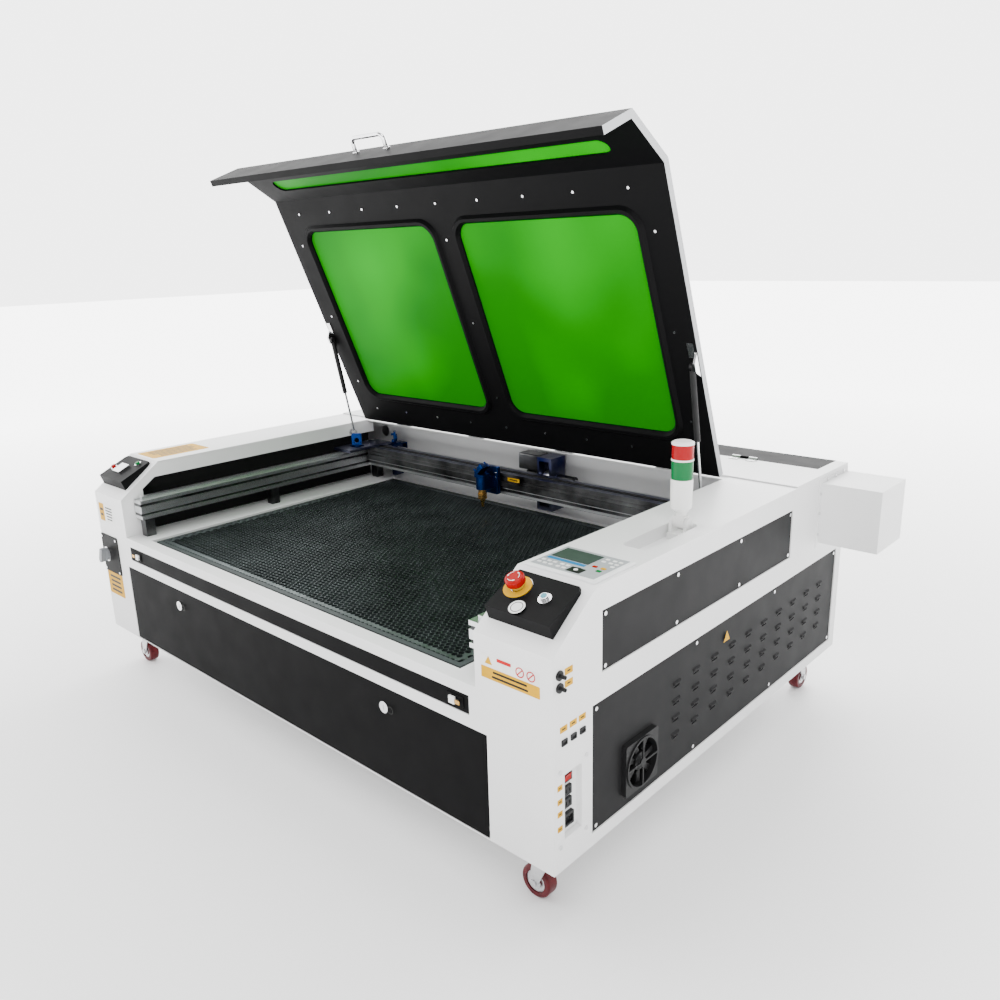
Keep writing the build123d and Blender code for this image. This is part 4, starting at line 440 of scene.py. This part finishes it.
def make_finishes():
    """All materials by name."""
    return {
        "white": powder_coat("white_powder_coat", (0.84, 0.84, 0.84), 0.4),
        "black": powder_coat("black_powder_coat", (0.003, 0.003, 0.0033), 0.55, shine=0.05),
        "charcoal": powder_coat("charcoal_powder_coat", (0.012, 0.012, 0.0125), 0.55, shine=0.1),
        "box_black": powder_coat("switch_box_black", (0.003, 0.003, 0.0033), 0.5, 1200.0, shine=0.08),
        "lid": lid_coat(),
        "acrylic": green_acrylic(),
        "chrome": metal("bright_plating", (0.8, 0.8, 0.81), 0.14, tarnish=0.94),
        "zinc": metal("zinc_plating", (0.62, 0.62, 0.63), 0.32, scale=120.0),
        "alloy": rail_coat(),
        "beam": beam_coat(),
        "comb": metal("comb_foil", (0.13, 0.155, 0.155), 0.5, (1, 1, 0.2), 60.0, 0.6),
        "rim": powder_coat("bed_rim", (0.05, 0.06, 0.06), 0.5, shine=0.1),
        "glass": finish("tube_glass", (0.9, 0.94, 0.95), 0.03, Transmission_Weight=0.9, IOR=1.47),
        "dark": moulded("black_moulding", (0.006, 0.006, 0.0065), 0.45),
        "grey": moulded("pale_moulding", (0.74, 0.74, 0.73), 0.35),
        "mid": moulded("grey_moulding", (0.2, 0.21, 0.22), 0.4),
        "bezel": moulded("keypad_bezel", (0.76, 0.77, 0.77), 0.36),
        "lamp": lamp_stack(),
        "red": shiny("red_gloss", (0.34, 0.001, 0.001), 0.25),
        "green": shiny("green_gloss", (0.0, 0.14, 0.03), 0.25),
        "teal": shiny("teal_lens", (0.1, 0.3, 0.36), 0.15),
        "blue": metal("blue_anodising", (0.008, 0.035, 0.16), 0.3, (20, 1, 1)),
        "navy": drive_coat("drive_motor"),
        "brass": metal("gold_anodising", (0.62, 0.36, 0.1), 0.25),
        "tread": wheel_tread(),
        "ground": drive_coat("drive_shaft"),
        "yellow": shiny("yellow_vinyl", (0.62, 0.33, 0.0), 0.5),
        "vinyl": shiny("white_vinyl", (0.86, 0.86, 0.84), 0.4),
        "ink": finish("label_ink", (0.006, 0.006, 0.006), 0.5, Specular_IOR_Level=0.2),
        "warning_red": shiny("red_vinyl", (0.5, 0.004, 0.008), 0.4),
        "screen": shiny("screen_glass", (0.045, 0.055, 0.055), 0.2),
        "sky": shiny("blue_membrane", (0.01, 0.16, 0.36), 0.4),
        "membrane": moulded("membrane_grey", (0.3, 0.32, 0.33), 0.45),
        "rubber": moulded("black_rubber", (0.006, 0.006, 0.006), 0.6, 600.0),
    }


NODE_FINISH = {
    "white": ("base_shell", "left_tower", "right_tower", "rear_housing", "tube_end_box", "socket_tray",
              "flap_latch_left", "flap_latch_right"),
    "black": ("rear_cover", "front_door", "feed_flap"),
    "charcoal": ("louvred_panels", "tower_panels"),
    "box_black": ("switch_boxes",),
    "lid": ("lid_frame",),
    "acrylic": ("lid_windows",),
    "chrome": ("switch_bezels", "panel_screws", "lid_fittings", "strut_rod_left", "strut_rod_right",
               "door_lock_left", "door_lock_right", "start_button"),
    "zinc": ("power_supply", "exhaust_spigot", "caster_plates", "fixed_hinges", "bed_frame",
             "caster_fork_front_left", "caster_fork_front_right", "caster_fork_rear_left",
             "caster_fork_rear_right"),
    "alloy": ("y_rails",),
    "beam": ("gantry_beam",),
    "comb": ("honeycomb",),
    "glass": ("laser_tube",),
    "dark": ("fan_housing", "fan_rotor", "wall_fittings", "strut_tube_left",
             "strut_tube_right"),
    "grey": ("signal_base",),
    "bezel": ("keypad",),
    "lamp": ("signal_stack",),
    "red": ("estop_button", "red_button", "rocker_switch"),
    "green": ("green_button",),
    "blue": ("first_mirror", "second_mirror", "laser_head"),
    "navy": ("drive_motor",),
    "brass": ("lens_tube",),
    "tread": ("caster_wheel_front_left", "caster_wheel_front_right", "caster_wheel_rear_left",
              "caster_wheel_rear_right"),
    "ground": ("drive_shaft",),
    "mid": ("isolator_knob",),
}
FINISHES = {}
CASTERS = ("front_left", "front_right", "rear_left", "rear_right")


# ---------------------------------------------------------------- pieces
def honeycomb_mesh(low, high, pitch, web):
    """Foil cells: hexagons on a staggered grid, webs between them on top and bottom, and a wall down every
    edge that only one top face uses, so the whole is one closed surface."""
    row = pitch * math.sqrt(3) / 2
    columns = int((high[0] - low[0]) / pitch - 0.5)
    rows = int((high[1] - low[1]) / row)
    j, i = np.mgrid[0:rows, 0:columns]
    centre = np.stack((i * pitch + (j % 2) * pitch / 2, j * row), -1)
    middle = (np.array(low) + np.array(high))[:2] / 2
    centre += middle - centre.reshape(-1, 2).mean(0)
    turn = np.radians(30 + 60 * np.arange(6))
    radius = pitch / math.sqrt(3) - web
    top = centre[:, :, None] + radius * np.stack((np.cos(turn), np.sin(turn)), -1)
    count = rows * columns * 6
    index = np.arange(count).reshape(rows, columns, 6)
    odd = (j % 2).astype(int)
    east_ok = i + 1 < columns
    ne_i, nw_i = i + odd, i + odd - 1
    ne_ok = (j + 1 < rows) & (ne_i < columns)
    nw_ok = (j + 1 < rows) & (nw_i >= 0)
    up = np.minimum(j + 1, rows - 1)
    east = index[j, np.minimum(i + 1, columns - 1)]
    ne = index[up, np.clip(ne_i, 0, columns - 1)]
    nw = index[up, np.clip(nw_i, 0, columns - 1)]
    a = index
    quads = [
        np.stack((a[..., 5], east[..., 3], east[..., 2], a[..., 0]), -1)[east_ok],
        np.stack((a[..., 0], ne[..., 4], ne[..., 3], a[..., 1]), -1)[ne_ok],
        np.stack((a[..., 1], nw[..., 5], nw[..., 4], a[..., 2]), -1)[nw_ok],
    ]
    triangles = [
        np.stack((a[..., 1], ne[..., 3], nw[..., 5]), -1)[ne_ok & nw_ok],
        np.stack((a[..., 0], east[..., 2], ne[..., 4]), -1)[east_ok & ne_ok],
    ]
    border = (i == 0) | (j == 0) | (i == columns - 1) | (j == rows - 1)
    hexes = index[border]
    tops = [np.concatenate(quads), np.concatenate(triangles), hexes]
    edges = np.concatenate([np.stack((f, np.roll(f, -1, 1)), -1).reshape(-1, 2) for f in tops])
    code = edges[:, 0] * count + edges[:, 1]
    back = edges[:, 1] * count + edges[:, 0]
    rim = edges[~np.isin(back, code)]
    walls = np.stack((rim[:, 1], rim[:, 0], rim[:, 0] + count, rim[:, 1] + count), -1)
    flat = top.reshape(-1, 2)
    points = np.concatenate((np.column_stack((flat, np.full(count, high[2]))),
                             np.column_stack((flat, np.full(count, low[2])))))
    faces = walls.tolist()
    for group in tops:
        faces += group.tolist()
        faces += (group[:, ::-1] + count).tolist()
    return points, faces


def bar_box(low, high, bevel=0.0008):
    """A bar between two corners, its upper edges softened."""
    low, high = np.array(low, float), np.array(high, float)
    size = high - low
    shape = plate(rounded_outline(size[0], size[1], bevel), size[2], bevel)
    return placed(shape, (low + high) / 2 * (1, 1, 0) + low * (0, 0, 1))


class ENGRAVER_PG_sizes(bpy.types.PropertyGroup):
    """Sizes and colours that change the fine pieces."""

    cell_pitch: bpy.props.FloatProperty(name="Cell pitch", description="Distance between honeycomb cells",
                                        default=15 * MM, min=0.012, unit="LENGTH")
    foil: bpy.props.FloatProperty(name="Foil", description="Half the width of a cell's visible edge",
                                  default=0.7 * MM, unit="LENGTH")
    label_thickness: bpy.props.FloatProperty(name="Label thickness", description="Height of the stickers",
                                             default=0.3 * MM, unit="LENGTH")
    floor_size: bpy.props.FloatProperty(name="Floor size", description="Width of the studio floor",
                                        default=60.0, unit="LENGTH")
    floor_colour: bpy.props.FloatVectorProperty(name="Floor colour", description="Colour of the studio floor",
                                                default=(0.9, 0.9, 0.9), subtype="COLOR")


def sizes():
    """The scene's size settings."""
    return bpy.context.scene.engraver_sizes


class ENGRAVER_OT_finishes(bpy.types.Operator):
    """Give every CAD node its finish"""

    bl_idname = "engraver.finishes"
    bl_label = "Finishes"

    def execute(self, context):
        """Makes the materials and puts one on each node."""
        FINISHES.update(make_finishes())
        for key, names in NODE_FINISH.items():
            for name in names:
                mesh = NODES[name].data
                mesh.materials.clear()
                mesh.materials.append(FINISHES[key])
        return {"FINISHED"}


class ENGRAVER_OT_honeycomb(bpy.types.Operator):
    """Make the bed's open foil cells and their rim"""

    bl_idname = "engraver.honeycomb"
    bl_label = "Honeycomb"

    def execute(self, context):
        """Cells inside a slim rim, in the place of the plain tray."""
        rim = 10 * MM
        low, high = BED_LOW + (rim, rim, 0), BED_HIGH - (rim, rim, 0)
        cells = piece("honeycomb_cells", honeycomb_mesh(low, high, sizes().cell_pitch, sizes().foil),
                      FINISHES["comb"], "bed")
        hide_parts("honeycomb")
        middle = (BED_LOW + BED_HIGH) / 2
        span = BED_HIGH - BED_LOW
        outer = rounded_outline(span[0], span[1], 1 * MM, 3)
        inner = rounded_outline(span[0] - 2 * rim - 10 * MM, span[1] - 2 * rim - 8 * MM, 1 * MM, 3)
        rim_ring = ring_plate(outer, inner, span[2] - 0.2 * MM, 0.5 * MM)
        shape = placed(rim_ring, (middle[0], middle[1], BED_LOW[2]))
        piece("honeycomb_rim", shape, FINISHES["rim"], "bed")
        return {"FINISHED"}


class ENGRAVER_OT_keypad(bpy.types.Operator):
    """Make the controller's screen, membrane and keys"""

    bl_idname = "engraver.keypad"
    bl_label = "Keypad"

    def execute(self, context):
        """Membrane sheet with a screen, a blue strip and raised keys."""
        low, high = corners("keypad")
        middle = (low + high) / 2
        level = high[2] - 1.5 * MM
        wide, deep = high[0] - low[0] - 18.6 * MM, high[1] - low[1] - 18.6 * MM

        def spot(x, y, z=0.0):
            return np.array((middle[0] - wide / 2 + x * wide, middle[1] - deep / 2 + y * deep, level + z))

        sheet = placed(plate(rounded_outline(wide, deep, 2 * MM), 0.8 * MM, 0.2 * MM), spot(0.5, 0.5))
        piece("keypad_membrane", sheet, FINISHES["membrane"], "cabinet")
        screen = placed(plate(rounded_outline(0.6 * wide, 0.46 * deep, 1 * MM), 0.6 * MM, 0.2 * MM),
                        spot(0.34, 0.7, 0.8 * MM))
        piece("keypad_screen", screen, FINISHES["screen"], "cabinet")
        strip = placed(plate(rounded_outline(0.6 * wide, 0.09 * deep, 0.6 * MM), 0.3 * MM, 0.1 * MM),
                       spot(0.34, 0.4, 0.8 * MM))
        piece("keypad_strip", strip, FINISHES["sky"], "cabinet")
        key = plate(rounded_outline(9 * MM, 6.5 * MM, 1.5 * MM), 1.2 * MM, 0.4 * MM)
        spots = [(x, y) for y in (0.13, 0.25) for x in (0.07, 0.16, 0.25, 0.37, 0.46)]
        spots += [(x, y) for y in (0.62, 0.74, 0.86) for x in (0.73, 0.84, 0.93)][2:]
        keys = joined([placed(key, spot(x, y, 0.8 * MM)) for x, y in spots])
        piece("keypad_keys", keys, FINISHES["vinyl"], "cabinet")
        pad = placed(ring_plate(circle_outline(13 * MM), circle_outline(5 * MM), 1.2 * MM, 0.4 * MM),
                     spot(0.63, 0.17, 0.8 * MM))
        pad_square = placed(plate(rounded_outline(34 * MM, 26 * MM, 2 * MM), 0.3 * MM, 0.1 * MM),
                            spot(0.63, 0.17, 0.8 * MM))
        piece("keypad_pad", joined([pad_square, pad]), FINISHES["dark"], "cabinet")
        button = placed(plate(circle_outline(4.5 * MM), 1.6 * MM, 0.5 * MM), spot(0.63, 0.17, 1.0 * MM))
        piece("keypad_centre", button, FINISHES["vinyl"], "cabinet")
        colour_key = plate(rounded_outline(11 * MM, 8 * MM, 1.5 * MM), 1.4 * MM, 0.4 * MM)
        for name, finish_name, x, y in (("red", "red", 0.75, 0.47), ("amber", "yellow", 0.88, 0.47),
                                        ("green", "green", 0.88, 0.34)):
            shape = placed(colour_key, spot(x, y, 0.8 * MM))
            piece(f"keypad_{name}", shape, FINISHES[finish_name], "cabinet")
        return {"FINISHED"}


def sign(origin, right, up, width, height, lines=0, margin=0.1, seed=1):
    """A sticker and its printed bars: bars of seeded, uneven length that stand for plain text lines."""
    lift = sizes().label_thickness
    base = placed(plate(rounded_outline(width, height, min(width, height) * 0.06, 3), lift, lift * 0.3),
                  origin, right, up)
    out = np.cross(right, up)
    draw = np.random.default_rng(seed)
    bars = []
    for k in range(lines):
        room = height * (1 - 2 * margin)
        length = width * (1 - 2 * margin) * draw.uniform(0.7, 1.0)
        tall = room / lines * 0.45
        shift = height / 2 - margin * height - room * (k + 0.5) / lines
        place = np.array(origin) + np.array(up) * shift + out * lift
        bars.append(placed(plate(rounded_outline(length, tall, tall * 0.2, 2), lift * 0.4), place, right, up))
    return base, bars


class ENGRAVER_OT_labels(bpy.types.Operator):
    """Make the plain stickers on the cabinet"""

    bl_idname = "engraver.labels"
    bl_label = "Labels"

    def execute(self, context):
        """Yellow and white stickers with plain printed bars."""
        yellow, white, ink = [], [], []

        def add(group, *place, **more):
            base, bars = sign(*place, **more)
            group.append(base)
            ink.extend(bars)

        face = FRONT - 0.02 * MM
        add(white, (0.836, face, 0.553), X, Z, 0.148, 0.027, lines=0)
        add(yellow, (0.836, face, 0.526), X, Z, 0.148, 0.025, lines=2, seed=3)
        add(yellow, (-0.908, face, 0.541), X, Z, 0.034, 0.058, lines=2, margin=0.2, seed=4)
        add(white, (-0.857, face, 0.541), X, Z, 0.062, 0.058, lines=5, seed=5)
        add(yellow, (-0.8825, face, 0.300), X, Z, 0.105, 0.078, lines=4, seed=6)
        top = TOWER_TOP + 0.02 * MM
        add(yellow, (-0.859, -0.425, top), Y, -X, 0.196, 0.116, lines=5, seed=7)
        side = HALF + 0.02 * MM
        for z in (0.540, 0.565):
            add(yellow, (side, -0.618, z), Y, Z, 0.024, 0.014, lines=1, margin=0.25, seed=8)
        for y in (-0.634, -0.605, -0.577):
            add(yellow, (side, y, 0.451), Y, Z, 0.022, 0.013, lines=1, margin=0.25, seed=9)
        for z in (0.331, 0.301, 0.274, 0.241):
            add(yellow, (side, -0.6465, z), Y, Z, 0.015, 0.012, lines=1, margin=0.25, seed=10)
        outline = circle_outline(1.0, 3) @ np.array(((0, 1), (-1, 0)))
        ring = ring_plate(circle_outline(10.5 * MM, 32), circle_outline(8.2 * MM, 32), 0.5 * MM)
        near, far = 5.8 * MM, 7.5 * MM
        slash = plate(np.array(((-far, -near), (-near, -far), (far, near), (near, far))), 0.5 * MM)
        raised = face - 0.3 * MM
        ring_xs, ring_z = (0.862, 0.889), 0.553
        yellow.append(placed(plate(outline * 0.011, 0.5 * MM), (0.782, raised, 0.551), X, Z))
        rings = [placed(ring, (x, raised, ring_z), X, Z) for x in ring_xs]
        rings += [placed(slash, (x, raised, ring_z), X, Z) for x in ring_xs]
        stripe = plate(rounded_outline(0.036, 0.007, 0.001), 0.5 * MM)
        rings.append(placed(stripe, (0.822, raised, 0.560), X, Z))
        piece("labels_red", joined(rings), FINISHES["warning_red"], "cabinet")
        side_face = corners("louvred_panels")[1][0] + 0.02 * MM
        yellow.append(placed(plate(outline * 0.017, 0.3 * MM), (side_face, -0.013, 0.412), Y, Z))
        piece("labels_yellow", joined(yellow), FINISHES["yellow"], "cabinet")
        piece("labels_white", joined(white), FINISHES["vinyl"], "cabinet")
        piece("labels_ink", joined(ink), FINISHES["ink"], "cabinet")
        return {"FINISHED"}


class ENGRAVER_OT_buttons(bpy.types.Operator):
    """Make the stop button's yellow disc and the buttons' trims"""

    bl_idname = "engraver.buttons"
    bl_label = "Buttons"

    def execute(self, context):
        """Disc and arrows at the stop button, lens in the start button."""
        _, out = joint_place("estop_push")
        low, high = corners("estop_button")
        up = np.cross(out, X)
        centre = (low + high) / 2
        stem = 18 * MM
        disc = ring_plate(circle_outline(29.6 * MM, 64), circle_outline(14.4 * MM, 64), 0.6 * MM, 0.2 * MM)
        shape = placed(disc, centre - out * (stem - 2.05 * MM), X, up)
        piece("estop_disc", shape, FINISHES["yellow"], "cabinet")
        arrows = [arc_arrow(10.5 * MM, 14 * MM, k * 2.094, 1.45, 0.4 * MM) for k in range(3)]
        top = centre + out * 12.02 * MM
        piece("estop_arrows", placed(joined(arrows), top, X, up), FINISHES["vinyl"], "estop_button")
        low, high = corners("start_button")
        _, way = joint_place("start_push")
        middle = (low + high) / 2 + way * 3.42 * MM
        lens = plate(circle_outline(6.6 * MM, 40), 0.9 * MM, 0.4 * MM)
        shape = placed(lens, middle, X, np.cross(way, X))
        piece("start_lens", shape, FINISHES["teal"], "start_button", smooth=True)
        patch = centre + X * 34 * MM - up * 46 * MM - out * 16 * MM
        sticker = plate(circle_outline(17 * MM, 48), 0.4 * MM, 0.1 * MM)
        dial = ring_plate(circle_outline(13 * MM, 48), circle_outline(11.4 * MM, 48), 0.2 * MM)
        piece("round_sticker", placed(sticker, patch + out * 0.4 * MM, X, up), FINISHES["vinyl"], "cabinet")
        piece("round_sticker_ring", placed(dial, patch + out * 0.8 * MM, X, up), FINISHES["ink"], "cabinet")
        return {"FINISHED"}


def arc_arrow(inner, outer, start, sweep, thickness):
    """A curved arrow: two arcs about the centre, ending in a point that is wider than the shaft."""
    turn = start + np.linspace(0, sweep, 12)
    wide = (outer - inner) * 0.35

    def around(radius, angle):
        return np.stack((radius * np.cos(angle), radius * np.sin(angle)), 1)

    shaft_out, shaft_in = around(outer - wide, turn[:9]), around(inner + wide, turn[:9][::-1])
    head = around(np.array((outer, (outer + inner) / 2, inner)), turn[[8, 11, 8]])
    return plate(np.concatenate((shaft_out, head, shaft_in)), thickness)


class ENGRAVER_OT_trims(bpy.types.Operator):
    """Make the lock rings, lock slots and latch plates of the cabinet's small fittings"""

    bl_idname = "engraver.trims"
    bl_label = "Trims"

    def execute(self, context):
        """Small parts that sit on the fittings' outer faces."""
        for side in ("left", "right"):
            low, high = corners(f"door_lock_{side}")
            middle = (low + high) / 2
            face = np.array((middle[0], low[1] - 0.02 * MM, middle[2]))
            slot = placed(plate(rounded_outline(1.6 * MM, 8 * MM, 0.7 * MM), 0.3 * MM), face, X, Z)
            piece(f"lock_slot_{side}", slot, FINISHES["ink"], f"door_lock_{side}")
            collar = ring_plate(circle_outline(9.4 * MM, 40), circle_outline(7 * MM, 40), 0.25 * MM)
            piece(f"lock_collar_{side}", placed(collar, face, X, Z), FINISHES["ink"], f"door_lock_{side}")
            low, high = corners(f"flap_latch_{side}")
            middle = (low + high) / 2
            face = np.array((middle[0], low[1] - 0.02 * MM, middle[2]))
            pad = plate(rounded_outline(14 * MM, 9 * MM, 1.5 * MM), 0.6 * MM, 0.2 * MM)
            piece(f"latch_pad_{side}", placed(pad, face, X, Z), FINISHES["brass"], f"flap_latch_{side}")
        return {"FINISHED"}


class ENGRAVER_OT_gantry(bpy.types.Operator):
    """Make the gantry's belt, screws and sticker and the head's screws"""

    bl_idname = "engraver.gantry"
    bl_label = "Gantry"

    def execute(self, context):
        """Belt along the beam, plate screws, beam sticker, head screws."""
        low, high = corners("gantry_beam")
        head_low, head_high = corners("laser_head")
        screw = plate(circle_outline(3.4 * MM, 16), 2.2 * MM, 0.5 * MM)
        row = (-0.03, 0.0, 0.03)
        rest = 0.285
        beam_top, belt_half, belt_end = 0.6152, 8 * MM, 0.09
        spots = [(x, y) for x in (low[0] + 12 * MM, low[0] + 58 * MM) for y in row]
        spots += [(x, y) for x in (high[0] - 12 * MM, high[0] - 58 * MM) for y in row]
        screws = [placed(screw, (x, rest + y, high[2] + 0.02 * MM)) for x, y in spots]
        piece("gantry_screws", joined(screws), FINISHES["chrome"], "gantry", smooth=True)
        belt = bar_box((low[0] + belt_end, rest - belt_half, beam_top),
                       (high[0] - belt_end, rest + belt_half, beam_top + 1.6 * MM), 0.2 * MM)
        piece("x_belt", belt, FINISHES["rubber"], "gantry")
        base, bars = sign((head_high[0] + 0.05, rest - 30.02 * MM, 0.598), X, Z, 0.05, 0.012, lines=1)
        piece("beam_label", base, FINISHES["yellow"], "gantry")
        piece("beam_label_ink", joined(bars), FINISHES["ink"], "gantry")
        middle = (head_low + head_high) / 2
        spots = [(x, z) for x in (-0.034, 0.034) for z in (0.020, 0.036)]
        plate_face = rest - 30 * MM - 8 * MM - 12.52 * MM
        heads = [placed(screw, (middle[0] + x, plate_face, 0.581 + z), X, Z) for x, z in spots]
        piece("head_screws", joined(heads), FINISHES["chrome"], "laser_head", smooth=True)
        return {"FINISHED"}


class ENGRAVER_OT_wheels(bpy.types.Operator):
    """Make the casters' pressed hubs"""

    bl_idname = "engraver.wheels"
    bl_label = "Wheels"

    def execute(self, context):
        """Hub discs in each wheel's recess."""
        for name in CASTERS:
            place, axis = joint_place(f"caster_roll_{name}")
            hubs = []
            for side in (-1, 1):
                along = axis * side
                profile = [(5.4 * MM, 11.2 * MM), (24.5 * MM, 11.2 * MM), (24.5 * MM, 12.6 * MM),
                           (21 * MM, 13.6 * MM), (17 * MM, 12.2 * MM), (14.8 * MM, 12.2 * MM),
                           (14.8 * MM, 15.3 * MM), (9 * MM, 15.8 * MM), (5.4 * MM, 15.8 * MM)]
                up = np.cross(along, np.cross(Z, along))
                hubs.append(placed(lathe(profile, 40, closed=True), place, np.cross(up, along), up))
            piece(f"wheel_hubs_{name}", joined(hubs), FINISHES["zinc"], f"caster_wheel_{name}", smooth=True)
        return {"FINISHED"}


SOFT_BOXES = (
    ("key", (3.0, -3.0, 4.5), 2.5, 160),
    ("fill", (-4.0, -2.5, 3.0), 3.0, 90),
    ("top", (0, 0.5, 5.0), 3.5, 120),
    ("rear", (-1.0, 4.0, 3.2), 2.5, 140),
)


def light_studio(world):
    """A white cyclorama: bright behind the machine, softer on the viewer's side."""
    tree = world.node_tree
    background = tree.nodes["Background"]
    background.inputs["Color"].default_value = (1, 1, 1, 1)
    place = tree.nodes.new("ShaderNodeTexCoord")
    facing = tree.nodes.new("ShaderNodeVectorMath")
    facing.operation = "DOT_PRODUCT"
    facing.inputs[1].default_value = (-0.67, 0.74, 0.0)
    spread = tree.nodes.new("ShaderNodeMapRange")
    for socket, value in (("From Min", -0.2), ("From Max", 0.6), ("To Min", 0.7), ("To Max", 4.5)):
        spread.inputs[socket].default_value = value
    tree.links.new(place.outputs["Generated"], facing.inputs[0])
    tree.links.new(facing.outputs["Value"], spread.inputs["Value"])
    tree.links.new(spread.outputs["Result"], background.inputs["Strength"])


def paper_glow(made):
    """The floor grows brighter with its distance from the middle, so it runs out into white."""
    place = made.node_tree.nodes.new("ShaderNodeTexCoord")
    far = made.node_tree.nodes.new("ShaderNodeVectorMath")
    far.operation = "LENGTH"
    made.node_tree.links.new(place.outputs["Object"], far.inputs[0])
    made.node_tree.nodes["Principled BSDF"].inputs["Emission Color"].default_value = (1, 1, 1, 1)
    send(made, ranged(made, far.outputs["Value"], 0.12, 4.5, 1.4, 6.0), "Emission Strength")


class ENGRAVER_OT_stage(bpy.types.Operator):
    """Make the floor, the lights and the camera"""

    bl_idname = "engraver.stage"
    bl_label = "Stage"

    def execute(self, context):
        """A pale floor under soft boxes, seen from the front right."""
        span = sizes().floor_size / 2
        floor_mesh = bpy.data.meshes.new("floor")
        floor_mesh.from_pydata([(-span, -span, 0), (span, -span, 0), (span, span, 0), (-span, span, 0)], [],
                               [(0, 1, 2, 3)])
        floor = bpy.data.objects.new("floor", floor_mesh)
        bpy.context.scene.collection.objects.link(floor)
        floor_finish = finish("studio_floor", tuple(sizes().floor_colour), 0.55)
        paper_glow(floor_finish)
        floor.data.materials.append(floor_finish)
        world = bpy.data.worlds.new("studio")
        world.use_nodes = True
        light_studio(world)
        bpy.context.scene.world = world
        for name, place, size, power in SOFT_BOXES:
            data = bpy.data.lights.new(name, "AREA")
            data.size = size
            data.energy = power
            lamp = bpy.data.objects.new(name, data)
            bpy.context.scene.collection.objects.link(lamp)
            aim = np.array((0.0, 0.0, 0.6)) - np.array(place)
            lamp.location = place
            lamp.rotation_euler = (math.atan2(math.hypot(aim[0], aim[1]), -aim[2]), 0,
                                   math.atan2(-aim[0], aim[1]))
        camera_data = bpy.data.cameras.new("camera")
        camera_data.lens = 31.18
        camera_data.sensor_width = 36
        camera = bpy.data.objects.new("camera", camera_data)
        camera.location = (1.8302, -1.7536, 1.3034)
        camera.rotation_euler = (1.292251, 0.025883, 0.738926)
        bpy.context.scene.collection.objects.link(camera)
        bpy.context.scene.camera = camera
        return {"FINISHED"}


class ENGRAVER_PT_panel(bpy.types.Panel):
    """Buttons for each group of pieces"""

    bl_idname = "ENGRAVER_PT_panel"
    bl_label = "Laser engraver"
    bl_space_type = "VIEW_3D"
    bl_region_type = "UI"
    bl_category = "Engraver"

    def draw(self, context):
        """Lists the sizes and the operators."""
        for name in ENGRAVER_PG_sizes.__annotations__:
            self.layout.prop(context.scene.engraver_sizes, name)
        for operator in OPERATORS:
            self.layout.operator(operator.bl_idname)


OPERATORS = (
    ENGRAVER_OT_finishes, ENGRAVER_OT_honeycomb, ENGRAVER_OT_keypad, ENGRAVER_OT_labels, ENGRAVER_OT_buttons,
    ENGRAVER_OT_trims, ENGRAVER_OT_gantry, ENGRAVER_OT_wheels, ENGRAVER_OT_stage,
)
CLASSES = (ENGRAVER_PG_sizes, *OPERATORS, ENGRAVER_PT_panel)


def register():
    """Registers the classes and the settings."""
    for entry in CLASSES:
        bpy.utils.register_class(entry)
    bpy.types.Scene.engraver_sizes = bpy.props.PointerProperty(type=ENGRAVER_PG_sizes)


def unregister():
    """Takes the settings and the classes away again."""
    del bpy.types.Scene.engraver_sizes
    for entry in reversed(CLASSES):
        bpy.utils.unregister_class(entry)


def main():
    """Builds everything in order."""
    register()
    for operator in OPERATORS:
        group, name = operator.bl_idname.split(".")
        getattr(getattr(bpy.ops, group), name)()


if __name__ == "__main__":
    main()
